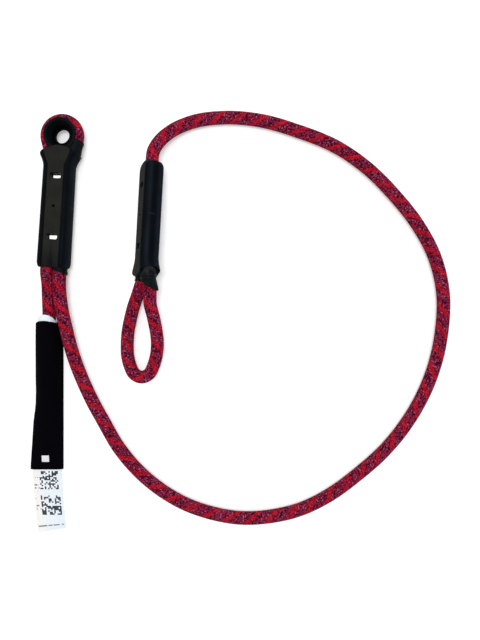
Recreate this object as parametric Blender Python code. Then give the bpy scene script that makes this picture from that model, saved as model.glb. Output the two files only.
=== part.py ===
"""Rope tie-off sling: one rope with a sewn thimble eye and a sewn soft eye, each under a moulded cover.

The part lies on the plane z = 0, and all sizes are in metres. Each termination has its own frame: x
across the two rope legs, y along the cover towards the eye and z out of the cover's front face, with
its origin at the centre of the cover's plain end.
"""

import math

import bmesh
import bpy
from mathutils import Matrix, Vector
from mathutils.geometry import interpolate_bezier

# Rope and clearances
ROPE_D = 0.011
GAP = 0.0003
TUBE_WALL = 0.0005
MAIN_STEP = 0.016
TAIL_STEP = 0.012
EYE_STEP = 0.0045
SOFT_EYE_STEP = 0.0075
ROPE_BEVEL_STEPS = 4

# Moulded cover
COVER_LENGTH = 0.1025
COVER_WIDTH = 0.026
PLAIN_END_WIDENING = 0.0011
COVER_DEPTH = 0.016
COVER_CORNER = 0.006
COVER_WALL = 0.0013
NOSE_EDGE = 0.0008
THIMBLE_NOSE = (0.0, 0.005)
SOFT_EYE_NOSE = (0.0053, 0.0070)
FLARE_LENGTH = 0.0165
FLARE_RIM = 0.0055
FLARE_POWER = 1.5
LIP_WIDTH = 0.0348
LIP_DEPTH = 0.0172
ARCH_DEPTH = 0.0083
ARCH_POWER = 0.8
RIM_CHAMFER = 0.0004
WINDOW_WIDTH = 0.0092
WINDOW_HEIGHT = 0.0046
WINDOW_SPACING = 0.0513
PIN_HOLE_D = 0.0024

# Sewn legs inside the cover and their white bar tacks
SEWN_RECESS = 0.0145
TACK_THICKNESS = 0.0024
TACK_RIDGES = 7
TACK_RIDGE_HEIGHT = 0.0003

# How far the legs stay straight beyond the sewn block and the cover's plain end
LEG_STRAIGHT = 0.003
FAR_LEG_OUT = 0.0054

# Black tube ends round the legs
FLANGE_CLEARANCE = 0.0009
SOFT_EYE_BAND_RECESS = 0.0007
BAND_EASE = 1.1
THIMBLE_TUBE_LENGTH = 0.0108
SOFT_EYE_TUBE_LENGTH = 0.0125
SOFT_EYE_TUBE_SLANT = 0.0105
LOWER_TUBE_LENGTH = 0.0050
LOWER_TUBE_SLANT = 0.0030
COLLAR_LENGTH = 0.006
COLLAR_SLANT = 0.0045

# Thimble
THIMBLE_BORE = 0.012
THIMBLE_WAIST_WALL = 0.00145
THIMBLE_WAIST_DROP = 0.0015
THIMBLE_MOUTH_D = 0.024
THIMBLE_FLANGE_D = 0.0281
THIMBLE_WIDTH = 0.0136
THIMBLE_EDGE = 0.0005
THIMBLE_REACH = 0.0102
THIMBLE_OFFSET = 0.0006
THIMBLE_SIDES = 36

# Identification label and its fabric sleeve
LABEL_WIDTH = 0.0252
LABEL_THICKNESS = 0.0004
LABEL_SKEW = 0.0044
LABEL_ARCH = 0.0065
SLEEVE_WALL = 0.0006
SLEEVE_EDGE = 0.0024
SLEEVE_BULGE_POWER = 0.46

# Each termination: centre of the plain end, a point on the axis towards the eye, roll in degrees
THIMBLE_END = ((-0.15865, 0.04715, 0.0092), (-0.1516, 0.15995, 0.0092), -3.0)
SOFT_END = ((-0.0734, 0.14055, 0.0133), (-0.0783, 0.04115, 0.0168), 63.0)

ROPE_R = ROPE_D / 2
LEG_SPREAD = ROPE_R + GAP / 2
BORE_R = ROPE_R + GAP
BORE_CORNER = 0.97 * BORE_R
EYE_R = THIMBLE_BORE / 2 + THIMBLE_WAIST_WALL + BORE_R
EYE_SAG = EYE_STEP ** 2 / (8 * EYE_R)
FLARE_START = COVER_LENGTH - FLARE_LENGTH
FLARE_END = COVER_LENGTH - FLARE_RIM
SEWN_END = COVER_LENGTH - SEWN_RECESS
THIMBLE_PLACE = COVER_LENGTH + THIMBLE_REACH
BAND_START = COVER_LENGTH - ARCH_DEPTH + GAP
THIMBLE_BAND_END = THIMBLE_PLACE - THIMBLE_FLANGE_D / 2 - FLANGE_CLEARANCE
SOFT_EYE_BAND_END = COVER_LENGTH - SOFT_EYE_BAND_RECESS
WINDOW_PLACES = (COVER_LENGTH / 2 - WINDOW_SPACING / 2, COVER_LENGTH / 2 + WINDOW_SPACING / 2)

# Soft eye's legs from the sewn block to the crotch: x from the axis, y from the block's end
SOFT_EYE_LEG = ((LEG_SPREAD, GAP), (LEG_SPREAD, LEG_STRAIGHT), (LEG_SPREAD + 0.0011, 0.0125))

# Routes of the free rope, in order, chosen by hand
MAIN_ROUTE = (
    (-0.1530, 0.0325, 0.0113), (-0.1522, 0.0212, 0.0114), (-0.1507, 0.0102, 0.0110),
    (-0.1488, 0.0007, 0.0104), (-0.1467, -0.0096, 0.0095), (-0.1424, -0.0276, 0.0077),
    (-0.1353, -0.0479, 0.0063), (-0.1266, -0.0673, 0.0057), (-0.1162, -0.0863, 0.0055),
    (-0.1047, -0.1063, 0.0055), (-0.0894, -0.1251, 0.0055), (-0.0702, -0.1420, 0.0055),
    (-0.0472, -0.1558, 0.0055), (-0.0247, -0.1638, 0.0055), (0.0017, -0.1683, 0.0055),
    (0.0282, -0.1668, 0.0055), (0.0532, -0.1607, 0.0055), (0.0761, -0.1496, 0.0055),
    (0.1024, -0.1306, 0.0055), (0.1252, -0.1103, 0.0055), (0.1441, -0.0871, 0.0055),
    (0.1590, -0.0616, 0.0055), (0.1695, -0.0339, 0.0055), (0.1752, -0.0044, 0.0055),
    (0.1759, 0.0263, 0.0055), (0.1688, 0.0567, 0.0055), (0.1542, 0.0845, 0.0055),
    (0.1347, 0.1093, 0.0055), (0.1117, 0.1325, 0.0055), (0.0839, 0.1518, 0.0055),
    (0.0515, 0.1651, 0.0055), (0.0156, 0.1750, 0.0055), (-0.0139, 0.1770, 0.0055),
    (-0.0429, 0.1722, 0.0062), (-0.0605, 0.1629, 0.0083), (-0.0695, 0.1530, 0.0106),
)
TAIL_ROUTE = (
    (-0.1638, 0.0325, 0.0079), (-0.1640, 0.0197, 0.0070), (-0.1639, 0.0082, 0.0067),
    (-0.1641, -0.0136, 0.0067), (-0.1643, -0.0336, 0.0067),
)
SOFT_EYE_ROUTE = (
    (-0.0743, 0.0267, 0.0192), (-0.0749, 0.0157, 0.0153), (-0.0733, 0.0072, 0.0121),
    (-0.0718, -0.0018, 0.0095), (-0.0707, -0.0103, 0.0073), (-0.0704, -0.0198, 0.0059),
    (-0.0715, -0.0288, 0.0055), (-0.0740, -0.0373, 0.0055), (-0.0782, -0.0438, 0.0055),
    (-0.0840, -0.0468, 0.0055), (-0.0898, -0.0438, 0.0055), (-0.0939, -0.0373, 0.0055),
    (-0.0961, -0.0288, 0.0055), (-0.0965, -0.0183, 0.0055), (-0.0958, -0.0080, 0.0056),
    (-0.0938, 0.0024, 0.0060), (-0.0909, 0.0132, 0.0070), (-0.0872, 0.0230, 0.0085),
    (-0.0846, 0.0300, 0.0098),
)

# Sleeve: y, left edge x, right edge x, crest x, height
SLEEVE_STATIONS = (
    (0.0007, -0.1766, -0.1532, -0.1655, 0.0162),
    (-0.0430, -0.1769, -0.1531, -0.1657, 0.0158),
    (-0.0680, -0.1774, -0.1531, -0.1651, 0.0104),
    (-0.0883, -0.1795, -0.1531, -0.1662, 0.0076),
    (-0.1273, -0.1818, -0.1531, -0.1674, 0.0034),
)
# Label: y, centre x, half angle of its roll in degrees, height of its long edges
LABEL_STATIONS = (
    (0.0069, -0.1653, 95.0, 0.0063),
    (-0.0400, -0.1655, 95.0, 0.0063),
    (-0.0560, -0.1655, 75.0, 0.0015),
    (-0.0758, -0.1654, 62.0, 0.0011),
    (-0.0998, -0.1666, 36.0, 0.0011),
    (-0.1273, -0.1674, 10.0, 0.0011),
    (-0.1418, -0.1664, 4.0, 0.0011),
    (-0.1618, -0.1645, 1.0, 0.0004),
    (-0.1803, -0.1629, 1.0, 0.0002),
)

COLOURS = {
    "rope": ((0.30, 0.02, 0.06), 0.85),
    "cover_plastic": ((0.022, 0.023, 0.024), 0.5),
    "thimble_plastic": ((0.02, 0.024, 0.022), 0.45),
    "shrink_tube": ((0.012, 0.013, 0.016), 0.4),
    "thread": ((0.85, 0.85, 0.83), 0.8),
    "label": ((0.88, 0.88, 0.86), 0.5),
    "sleeve_fabric": ((0.008, 0.008, 0.010), 0.95),
}

# A rounded section's points run from the middle of the front face round by +x
FACE_STEPS = 4
SIDE_STEPS = 2
CORNER_STEPS = 4
SECTION_POINTS = 4 * (FACE_STEPS + CORNER_STEPS + SIDE_STEPS)


def clear_scene():
    for thing in list(bpy.data.objects):
        bpy.data.objects.remove(thing, do_unlink=True)


def material(slot):
    found = bpy.data.materials.get(slot)
    if found:
        return found
    colour, roughness = COLOURS[slot]
    made = bpy.data.materials.new(slot)
    made.use_nodes = True
    shader = made.node_tree.nodes["Principled BSDF"]
    shader.inputs["Base Color"].default_value = (*colour, 1.0)
    shader.inputs["Roughness"].default_value = roughness
    shader.inputs["Metallic"].default_value = 0.0
    return made


def termination(name, base, towards, roll):
    """An empty with y from base to towards and z up, then turned about y by roll."""
    along = (Vector(towards) - Vector(base)).normalized()
    across = along.cross(Vector((0, 0, 1))).normalized()
    axes = Matrix((across, along, across.cross(along))).transposed().to_4x4()
    frame = bpy.data.objects.new(name, None)
    frame.matrix_world = Matrix.Translation(base) @ axes @ Matrix.Rotation(math.radians(roll), 4, "Y")
    bpy.context.collection.objects.link(frame)
    return frame


def add_mesh(name, shape, slot, parent=None):
    """The bmesh shape as an object, in its parent's frame."""
    bmesh.ops.recalc_face_normals(shape, faces=shape.faces)
    mesh = bpy.data.meshes.new(name)
    shape.to_mesh(mesh)
    shape.free()
    mesh.materials.append(material(slot))
    mesh.shade_smooth()
    mesh.set_sharp_from_angle(angle=math.radians(35))
    made = bpy.data.objects.new(name, mesh)
    made.parent = parent
    bpy.context.collection.objects.link(made)
    return made


def bridge(shape, first, second):
    """Faces between two closed rings with as many points."""
    for k in range(len(first)):
        after = (k + 1) % len(first)
        shape.faces.new((first[k], first[after], second[after], second[k]))


def add_rings(shape, rings):
    """The rings' points as vertices, with faces between each ring and the next."""
    made = [[shape.verts.new(point) for point in ring] for ring in rings]
    for first, second in zip(made, made[1:]):
        bridge(shape, first, second)
    return made


def capped(rings):
    """A solid through the rings, with a flat face at each end."""
    shape = bmesh.new()
    made = add_rings(shape, rings)
    shape.faces.new(made[0])
    shape.faces.new(made[-1])
    return shape


def open_tube(outer, inner):
    """A tube that is open at both ends, with a rim between its outer and inner walls."""
    shape = bmesh.new()
    outside = add_rings(shape, outer)
    inside = add_rings(shape, inner)
    bridge(shape, outside[0], inside[0])
    bridge(shape, outside[-1], inside[-1])
    return shape


def cut(target, cutter):
    cutter.hide_render = True
    cutter.display_type = "WIRE"
    modifier = target.modifiers.new(cutter.name, "BOOLEAN")
    modifier.operation = "DIFFERENCE"
    modifier.solver = "EXACT"
    modifier.object = cutter


def heading(points, k):
    """The unit direction at point k, as the circle through its neighbours has it."""
    if k == 0:
        return (points[1] - points[0]).normalized()
    if k == len(points) - 1:
        return (points[-1] - points[-2]).normalized()
    before, after = points[k] - points[k - 1], points[k + 1] - points[k]
    return (before.normalized() * after.length + after.normalized() * before.length).normalized()


def smooth_points(route, step):
    """Points about step apart on a smooth curve through the route's; its end stretches stay straight."""
    points = [Vector(point) for point in route]
    fine = [points[1]]
    for k in range(1, len(points) - 2):
        start, end = points[k], points[k + 1]
        third = (end - start).length / 3
        leave = start + heading(points, k) * third
        arrive = end - heading(points, k + 1) * third
        fine += interpolate_bezier(start, leave, arrive, end, 25)[1:]
    travelled = [0.0]
    for one, two in zip(fine, fine[1:]):
        travelled.append(travelled[-1] + (two - one).length)
    count = round(travelled[-1] / step)
    picked, k = [points[0]], 0
    for n in range(count + 1):
        wanted = travelled[-1] * n / count
        while k < len(fine) - 2 and travelled[k + 1] < wanted:
            k += 1
        share = (wanted - travelled[k]) / (travelled[k + 1] - travelled[k])
        picked.append(fine[k].lerp(fine[k + 1], share))
    return [*picked, points[-1]]


def rope(name, points):
    """A round rope along the points, with flat cut ends."""
    curve = bpy.data.curves.new(name, "CURVE")
    curve.dimensions = "3D"
    curve.bevel_depth = ROPE_R
    curve.bevel_resolution = ROPE_BEVEL_STEPS
    curve.use_fill_caps = True
    spline = curve.splines.new("POLY")
    spline.points.add(len(points) - 1)
    for place, point in zip(spline.points, points):
        place.co = (*point, 1.0)
    curve.materials.append(material("rope"))
    made = bpy.data.objects.new(name, curve)
    bpy.context.collection.objects.link(made)
    return made


def circles_along(points, radius, flat_start=None, sides=20):
    """A circle round each point, square to the path; the first can be in the plane y = flat_start."""
    rings, across = [], Vector((0, 0, 1))
    for k, point in enumerate(points):
        ahead = heading(points, k)
        across = (across - ahead * across.dot(ahead)).normalized()
        beside = ahead.cross(across)
        angles = [2 * math.pi * n / sides for n in range(sides)]
        rings.append([point + (across * math.cos(a) + beside * math.sin(a)) * radius for a in angles])
        if k == 0 and flat_start is not None:
            rings[0] = [p + ahead * (flat_start - p.y) / ahead.y for p in rings[0]]
    return rings


def stretch(path, y, length):
    """Five evenly spaced points on a path, from where it first crosses y on."""
    points, travelled = [], None
    for one, two in zip(path, path[1:]):
        if travelled is None:
            if not min(one.y, two.y) <= y <= max(one.y, two.y):
                continue
            one = one.lerp(two, (y - one.y) / (two.y - one.y))
            travelled = 0.0
        span = (two - one).length
        while len(points) < 5 and length * len(points) / 4 <= travelled + span:
            points.append(one.lerp(two, (length * len(points) / 4 - travelled) / span))
        travelled += span
    return points


def leg_tube(name, frame, path, y, length, slant=0.0, long_side=(1, 0, 0)):
    """A thin black tube round a leg from the plane y on, cut askew: shorter by the slant on one side."""
    points = stretch(path, y, length)
    outer = circles_along(points, BORE_R + TUBE_WALL, y)
    inner = circles_along(points, BORE_R, y)
    cut_off = [slant / length * (1 - (p - points[-1]).normalized().dot(Vector(long_side))) / 2
               for p in outer[-1]]
    shape = open_tube(shortened(outer, cut_off), shortened(inner, cut_off))
    return add_mesh(name, shape, "shrink_tube", frame)


def shortened(rings, cut_off):
    """A tube's rings drawn together, so that each line of points along it loses its share in cut_off."""
    drawn = []
    for k in range(len(rings)):
        ring = []
        for n, share in enumerate(cut_off):
            place = k * (1 - share)
            whole = min(len(rings) - 2, int(place))
            ring.append(rings[whole][n].lerp(rings[whole + 1][n], place - whole))
        drawn.append(ring)
    return drawn


def rounded_section(width, depth, corner):
    """Points (x, z) round a rectangle with round corners."""
    half_x, half_z = width / 2 - corner, depth / 2 - corner
    quarter = [(half_x * k / FACE_STEPS, depth / 2) for k in range(FACE_STEPS)]
    for k in range(CORNER_STEPS + 1):
        a = math.pi / 2 * (1 - k / CORNER_STEPS)
        quarter.append((half_x + corner * math.cos(a), half_z + corner * math.sin(a)))
    quarter += [(width / 2, half_z * (1 - k / SIDE_STEPS)) for k in range(1, SIDE_STEPS)]
    right = quarter + [(width / 2, 0.0)] + [(x, -z) for x, z in reversed(quarter)]
    return right + [(-x, z) for x, z in reversed(right[1:-1])]


def section_ring(width, depth, corner, y):
    return [Vector((x, y, z)) for x, z in rounded_section(width, depth, corner)]


def blend(low, high, share):
    return low + (high - low) * share


def nose_rings(nose, bore_width, inset, edge):
    """Rings over the cover's round plain end, from its bore to the full section."""
    start, length = nose
    rings = []
    for k in range(4):
        a = math.pi / 2 * k / 3
        share = math.sin(a)
        y = start + length * (1 - math.cos(a))
        width = blend(bore_width + 2 * edge, COVER_WIDTH + PLAIN_END_WIDENING - 2 * inset, share)
        depth = blend(2 * (BORE_R + edge), COVER_DEPTH - 2 * inset, share)
        corner = blend(BORE_CORNER + edge, COVER_CORNER - inset, share)
        rings.append(section_ring(width, depth, corner, y))
    return rings


def mouth_ring(share, inset, back=0.0):
    """A ring in the cover's flare, share of the way from its start to the arched rim."""
    ring = []
    for k in range(SECTION_POINTS):
        turn = (1 - math.cos(4 * math.pi * k / SECTION_POINTS)) / 2
        rim = COVER_LENGTH - ARCH_DEPTH * turn ** ARCH_POWER
        y = blend(FLARE_START, rim, share) - back
        opened = min(1.0, max(0.0, (y - FLARE_START) / (FLARE_END - FLARE_START))) ** FLARE_POWER
        width = blend(COVER_WIDTH, LIP_WIDTH, opened) - 2 * inset
        depth = blend(COVER_DEPTH, LIP_DEPTH, opened) - 2 * inset
        x, z = rounded_section(width, depth, COVER_CORNER - inset)[k]
        ring.append(Vector((x, y, z)))
    return ring


def moulded_cover(name, frame, nose, bore_width):
    """One moulding: round nose, two windows and a pin hole in each face, arched and flared mouth."""
    outer = nose_rings(nose, bore_width, 0.0, NOSE_EDGE) + [mouth_ring(k / 6, 0.0) for k in range(6)]
    outer += [mouth_ring(1.0, 0.0, RIM_CHAMFER), mouth_ring(1.0, RIM_CHAMFER)]
    inner = nose_rings(nose, bore_width, COVER_WALL, 0.0) + [mouth_ring(k / 6, COVER_WALL) for k in range(6)]
    inner += [mouth_ring(1.0, COVER_WALL, RIM_CHAMFER), mouth_ring(1.0, COVER_WALL - RIM_CHAMFER)]
    cover = add_mesh(name, open_tube(outer, inner), "cover_plastic", frame)
    shape = slots_shape(0.0)
    pin = bmesh.ops.create_cone(shape, cap_ends=True, segments=16, radius1=PIN_HOLE_D / 2,
                                radius2=PIN_HOLE_D / 2, depth=2 * COVER_DEPTH)["verts"]
    bmesh.ops.translate(shape, vec=(0, COVER_LENGTH / 2, 0), verts=pin)
    cut(cover, add_mesh(name + "_windows", shape, "cover_plastic", frame))
    return cover


def slots_shape(clearance):
    """A box through each pair of windows, wider than them by the clearance all round."""
    shape = bmesh.new()
    size = (WINDOW_WIDTH + 2 * clearance, WINDOW_HEIGHT + 2 * clearance, 2 * COVER_DEPTH)
    for y in WINDOW_PLACES:
        box = bmesh.ops.create_cube(shape, size=1.0)["verts"]
        bmesh.ops.scale(shape, vec=size, verts=box)
        bmesh.ops.translate(shape, vec=(0, y, 0), verts=box)
    return shape


def sewn_legs(name, frame, nose):
    """The two rope legs pressed and sewn into one block, with a slot for each bar tack."""
    inset = COVER_WALL + GAP
    width, depth = COVER_WIDTH - 2 * inset, COVER_DEPTH - 2 * inset
    rings = [section_ring(width, depth, COVER_CORNER - COVER_WALL, y) for y in (sum(nose) + GAP, SEWN_END)]
    legs = add_mesh(name, capped(rings), "rope", frame)
    cut(legs, add_mesh(name + "_slots", slots_shape(GAP), "rope", frame))
    return legs


def bar_tack(name, frame, y):
    """A stitched block between the legs, with its thread rows as ridges on both faces."""
    pitch, crest = WINDOW_WIDTH / TACK_RIDGES, TACK_THICKNESS / 2
    top = []
    for k in range(TACK_RIDGES):
        left = k * pitch - WINDOW_WIDTH / 2
        top.append((left, crest - TACK_RIDGE_HEIGHT))
        top += [(left + pitch / 3, crest), (left + 2 * pitch / 3, crest)]
    top.append((WINDOW_WIDTH / 2, crest - TACK_RIDGE_HEIGHT))
    outline = top + [(x, -z) for x, z in reversed(top)]
    ends = (y - WINDOW_HEIGHT / 2, y + WINDOW_HEIGHT / 2)
    rings = [[Vector((x, end, z)) for x, z in outline] for end in ends]
    return add_mesh(name, capped(rings), "thread", frame)


def crotch_band(name, frame, path, end):
    """The end of the black tube that wraps both legs, from just inside the side arches."""
    inner, outer = [], []
    for k in range(3):
        y = blend(BAND_START, end, k / 2)
        one, two = (stretch(route, y, ROPE_D)[0] for route in (path, path[::-1]))
        width, depth = abs(one.x - two.x) + 2 * BAND_EASE * BORE_R, abs(one.z - two.z) + 2 * BORE_R
        for rings, wall in ((inner, 0.0), (outer, TUBE_WALL)):
            ring = section_ring(width + 2 * wall, depth + 2 * wall, BORE_CORNER + wall, 0.0)
            rings.append([p + (one + two) / 2 for p in ring])
    return add_mesh(name, open_tube(outer, inner), "shrink_tube", frame)


def eye_leg(side):
    """One leg's points up to the thimble, as if it were at +x, and how far it leans out there."""
    leg = [Vector((LEG_SPREAD, SEWN_END + GAP, 0)), Vector((LEG_SPREAD, SEWN_END + LEG_STRAIGHT, 0))]
    reach = Vector((side * THIMBLE_OFFSET, THIMBLE_PLACE, 0)) - leg[-1]
    return leg, math.asin((EYE_R + EYE_SAG) / reach.length) - math.atan2(-reach.x, reach.y)


def thimble_eye_route():
    """The rope's way round the thimble: up one leg, over an arc and down the other leg."""
    (first, first_lean), (last, last_lean) = eye_leg(1), eye_leg(-1)
    last = [Vector((-p.x, p.y, 0)) for p in last]
    centre = Vector((THIMBLE_OFFSET, THIMBLE_PLACE, 0))
    arc = [blend(-first_lean, math.pi + last_lean, k / 10) for k in range(11)]
    around = [centre + (EYE_R + EYE_SAG) * Vector((math.cos(a), math.sin(a), 0)) for a in arc]
    first.append(first[-1].lerp(around[0], 0.5))
    last.append(last[-1].lerp(around[-1], 0.5))
    return first + around + last[::-1]


def funnel(height, points):
    """The bore's curve from the waist out to the mouth as points (r, height over the waist)."""
    rise = THIMBLE_MOUTH_D / 2 - THIMBLE_EDGE - THIMBLE_BORE / 2
    round_r = (rise ** 2 + height ** 2) / (2 * rise)
    heights = [height * k / points for k in range(points + 1)]
    return [(THIMBLE_BORE / 2 + round_r - math.sqrt(round_r ** 2 - h ** 2), h) for h in heights]


def thimble_section():
    """The thimble's closed section as points (r, z), up the hourglass bore and down the groove."""
    face, mouth, flange = THIMBLE_WIDTH / 2, THIMBLE_MOUTH_D / 2, THIMBLE_FLANGE_D / 2
    run = face - THIMBLE_EDGE
    upper = [(r, h - THIMBLE_WAIST_DROP) for r, h in funnel(run + THIMBLE_WAIST_DROP, 5)]
    lower = [(r, -h - THIMBLE_WAIST_DROP) for r, h in funnel(run - THIMBLE_WAIST_DROP, 4)]
    outside = [(mouth, face), (flange - THIMBLE_EDGE, face), (flange, run), (flange, BORE_R + THIMBLE_EDGE)]
    for k in range(6):
        a = math.pi / 2 * k / 5
        outside.append((EYE_R - BORE_R * math.sin(a), BORE_R * math.cos(a)))
    return upper + outside + [(r, -z) for r, z in reversed(outside[:-1])] + lower[:0:-1]


def thimble(name, frame):
    """A turned grommet: two flanges, an hourglass bore and a groove that seats the rope."""
    shape = bmesh.new()
    turned = []
    for k in range(THIMBLE_SIDES):
        a = 2 * math.pi * k / THIMBLE_SIDES
        place = [(THIMBLE_OFFSET + r * math.cos(a), THIMBLE_PLACE + r * math.sin(a), z)
                 for r, z in thimble_section()]
        turned.append([shape.verts.new(point) for point in place])
    for first, second in zip(turned, turned[1:] + turned[:1]):
        bridge(shape, first, second)
    return add_mesh(name, shape, "thimble_plastic", frame)


def table_slope(rows, k, n):
    """Slope of column n at row k; none where the column turns back or stands still."""
    steps = [(rows[j + 1][n] - rows[j][n]) / (rows[j + 1][0] - rows[j][0])
             for j in (k - 1, k) if 0 <= j < len(rows) - 1]
    if min(steps) * max(steps) <= 0:
        return 0.0
    return min(steps, key=abs)


def at_station(stations, y):
    """The other columns of the stations at y, on smooth curves through them."""
    rows = sorted(stations)
    k = max(0, min(len(rows) - 2, sum(row[0] <= y for row in rows) - 1))
    span = rows[k + 1][0] - rows[k][0]
    t = min(1.0, max(0.0, (y - rows[k][0]) / span))
    values = []
    for n in range(1, len(rows[0])):
        start, end = table_slope(rows, k, n) * span, table_slope(rows, k + 1, n) * span
        low, high = rows[k][n], rows[k + 1][n]
        values.append(low * (1 + 2 * t) * (1 - t) ** 2 + start * t * (1 - t) ** 2
                      + high * t * t * (3 - 2 * t) - end * t * t * (1 - t))
    return values


def spaced(stations, count):
    first, last = stations[0][0], stations[-1][0]
    return [blend(first, last, k / (count - 1)) for k in range(count)]


def sleeve_section(y):
    """The sleeve's outline at y as points (x, z): flat below, thin edges and a bulge over the tail."""
    left, right, crest, height = at_station(SLEEVE_STATIONS, y)
    r = SLEEVE_EDGE / 2
    points = [(blend(left + r, right - r, k / 4), 0.0) for k in range(5)]
    for k in range(1, 4):
        a = math.pi * (k / 4 - 0.5)
        points.append((right - r + r * math.cos(a), r + r * math.sin(a)))
    for k in range(19):
        x = blend(right - r, left + r, k / 18)
        side = (right - r - crest) if x > crest else (crest - left - r)
        bulge = max(0.0, math.cos(math.pi / 2 * min(1.0, abs(x - crest) / side)))
        points.append((x, SLEEVE_EDGE + (height - SLEEVE_EDGE) * bulge ** SLEEVE_BULGE_POWER))
    for k in range(1, 4):
        a = math.pi * (k / 4 + 0.5)
        points.append((left + r + r * math.cos(a), r + r * math.sin(a)))
    return points


def inset_outline(points, wall):
    """The outline moved inwards by the wall, point by point; the points run anticlockwise."""
    moved = []
    for k, here in enumerate(points):
        before, after = Vector(points[k - 1]), Vector(points[(k + 1) % len(points)])
        here = Vector(here)
        tangent = ((here - before).normalized() + (after - here).normalized()).normalized()
        spread = max(0.5, tangent.dot((after - here).normalized()))
        moved.append(here + Vector((-tangent.y, tangent.x)) * wall / spread)
    return [(p.x, p.y) for p in moved]


def label_sleeve(name):
    """A fabric tube, round over the tail at its top and flat at its lower end."""
    outer, inner = [], []
    top = SLEEVE_STATIONS[0][0]
    crest = SLEEVE_STATIONS[0][3]
    for y in spaced(SLEEVE_STATIONS, 10):
        outline = sleeve_section(y)
        outer.append([Vector((x - crest, y - top, z)) for x, z in outline])
        inner.append([Vector((x - crest, y - top, z)) for x, z in inset_outline(outline, SLEEVE_WALL)])
    made = add_mesh(name, open_tube(outer, inner), "sleeve_fabric")
    made.location = (crest, top, 0)
    return made


def label_ring(y, skew=0.0, arch=0.0):
    """The label's section at y: an arc of its full width, rolled by the station's half angle.

    The skew draws one long edge back, and the arch both.
    """
    centre, angle, edge_height = at_station(LABEL_STATIONS, y)
    half = math.radians(angle)
    radius = LABEL_WIDTH / (2 * half)
    faces = []
    for offset in (LABEL_THICKNESS / 2, -LABEL_THICKNESS / 2):
        face = []
        for k in range(13):
            a = blend(-half, half, k / 12)
            x = centre + (radius + offset) * math.sin(a)
            z = edge_height - radius * math.cos(half) + (radius + offset) * math.cos(a)
            drawn = skew * (x - centre) / LABEL_WIDTH - arch * (1 - math.cos(a))
            face.append(Vector((x, y + drawn, z)))
        faces.append(face)
    return faces[0] + faces[1][::-1]


def id_label(name):
    """A printed strip: rolled over the tail at its arched top, flat and cut askew at its lower end."""
    shape = bmesh.new()
    places = spaced(LABEL_STATIONS, 17)
    rings = [label_ring(places[0], arch=LABEL_ARCH), *(label_ring(y) for y in places[1:-1]),
             label_ring(places[-1], LABEL_SKEW)]
    made = add_rings(shape, rings)
    for ring in (made[0], made[-1]):
        for k in range(12):
            shape.faces.new((ring[k], ring[k + 1], ring[-2 - k], ring[-1 - k]))
    return add_mesh(name, shape, "label")


def build_thimble_end():
    frame = termination("thimble_end", *THIMBLE_END)
    bpy.context.view_layer.update()
    path = smooth_points(thimble_eye_route(), EYE_STEP)
    moulded_cover("thimble_cover", frame, THIMBLE_NOSE, 2 * (LEG_SPREAD + BORE_R))
    sewn_legs("thimble_sewn_legs", frame, THIMBLE_NOSE)
    bar_tack("thimble_tack_lower", frame, WINDOW_PLACES[0])
    bar_tack("thimble_tack_upper", frame, WINDOW_PLACES[1])
    crotch_band("thimble_crotch_band", frame, path, THIMBLE_BAND_END)
    thimble("thimble", frame)
    rope("thimble_eye_rope", [frame.matrix_world @ p for p in path])
    tube = leg_tube("thimble_leg_tube", frame, path, THIMBLE_BAND_END + GAP, THIMBLE_TUBE_LENGTH)
    shape = bmesh.new()
    reach = THIMBLE_FLANGE_D / 2 + GAP
    bmesh.ops.create_cone(shape, cap_ends=True, segments=64, radius1=reach, radius2=reach, depth=COVER_WIDTH,
                          matrix=Matrix.Translation((THIMBLE_OFFSET, THIMBLE_PLACE, 0)))
    cut(tube, add_mesh("thimble_clearance", shape, "thimble_plastic", frame))
    return frame.matrix_world


def build_soft_end():
    frame = termination("soft_end", *SOFT_END)
    bpy.context.view_layer.update()
    place = frame.matrix_world
    first = [place @ Vector((-x, SEWN_END + y, 0)) for x, y in SOFT_EYE_LEG]
    last = [place @ Vector((x, SEWN_END + y, 0)) for x, y in reversed(SOFT_EYE_LEG)]
    points = smooth_points([*first, *SOFT_EYE_ROUTE, *last], SOFT_EYE_STEP)
    path = [place.inverted() @ p for p in points]
    moulded_cover("soft_eye_cover", frame, SOFT_EYE_NOSE, 2 * BORE_R)
    sewn_legs("soft_eye_sewn_legs", frame, SOFT_EYE_NOSE)
    bar_tack("soft_eye_tack_upper", frame, WINDOW_PLACES[0])
    bar_tack("soft_eye_tack_lower", frame, WINDOW_PLACES[1])
    crotch_band("soft_eye_crotch_band", frame, path, SOFT_EYE_BAND_END)
    rope("soft_eye_rope", points)
    start, right = SOFT_EYE_BAND_END + GAP, place.to_3x3().transposed() @ Vector((1, 0, 0))
    leg_tube("soft_eye_leg_tube", frame, path, start, SOFT_EYE_TUBE_LENGTH, SOFT_EYE_TUBE_SLANT, right)
    leg_tube("soft_eye_lower_tube", frame, path[::-1], start, LOWER_TUBE_LENGTH, LOWER_TUBE_SLANT, -right)
    return place


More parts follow.
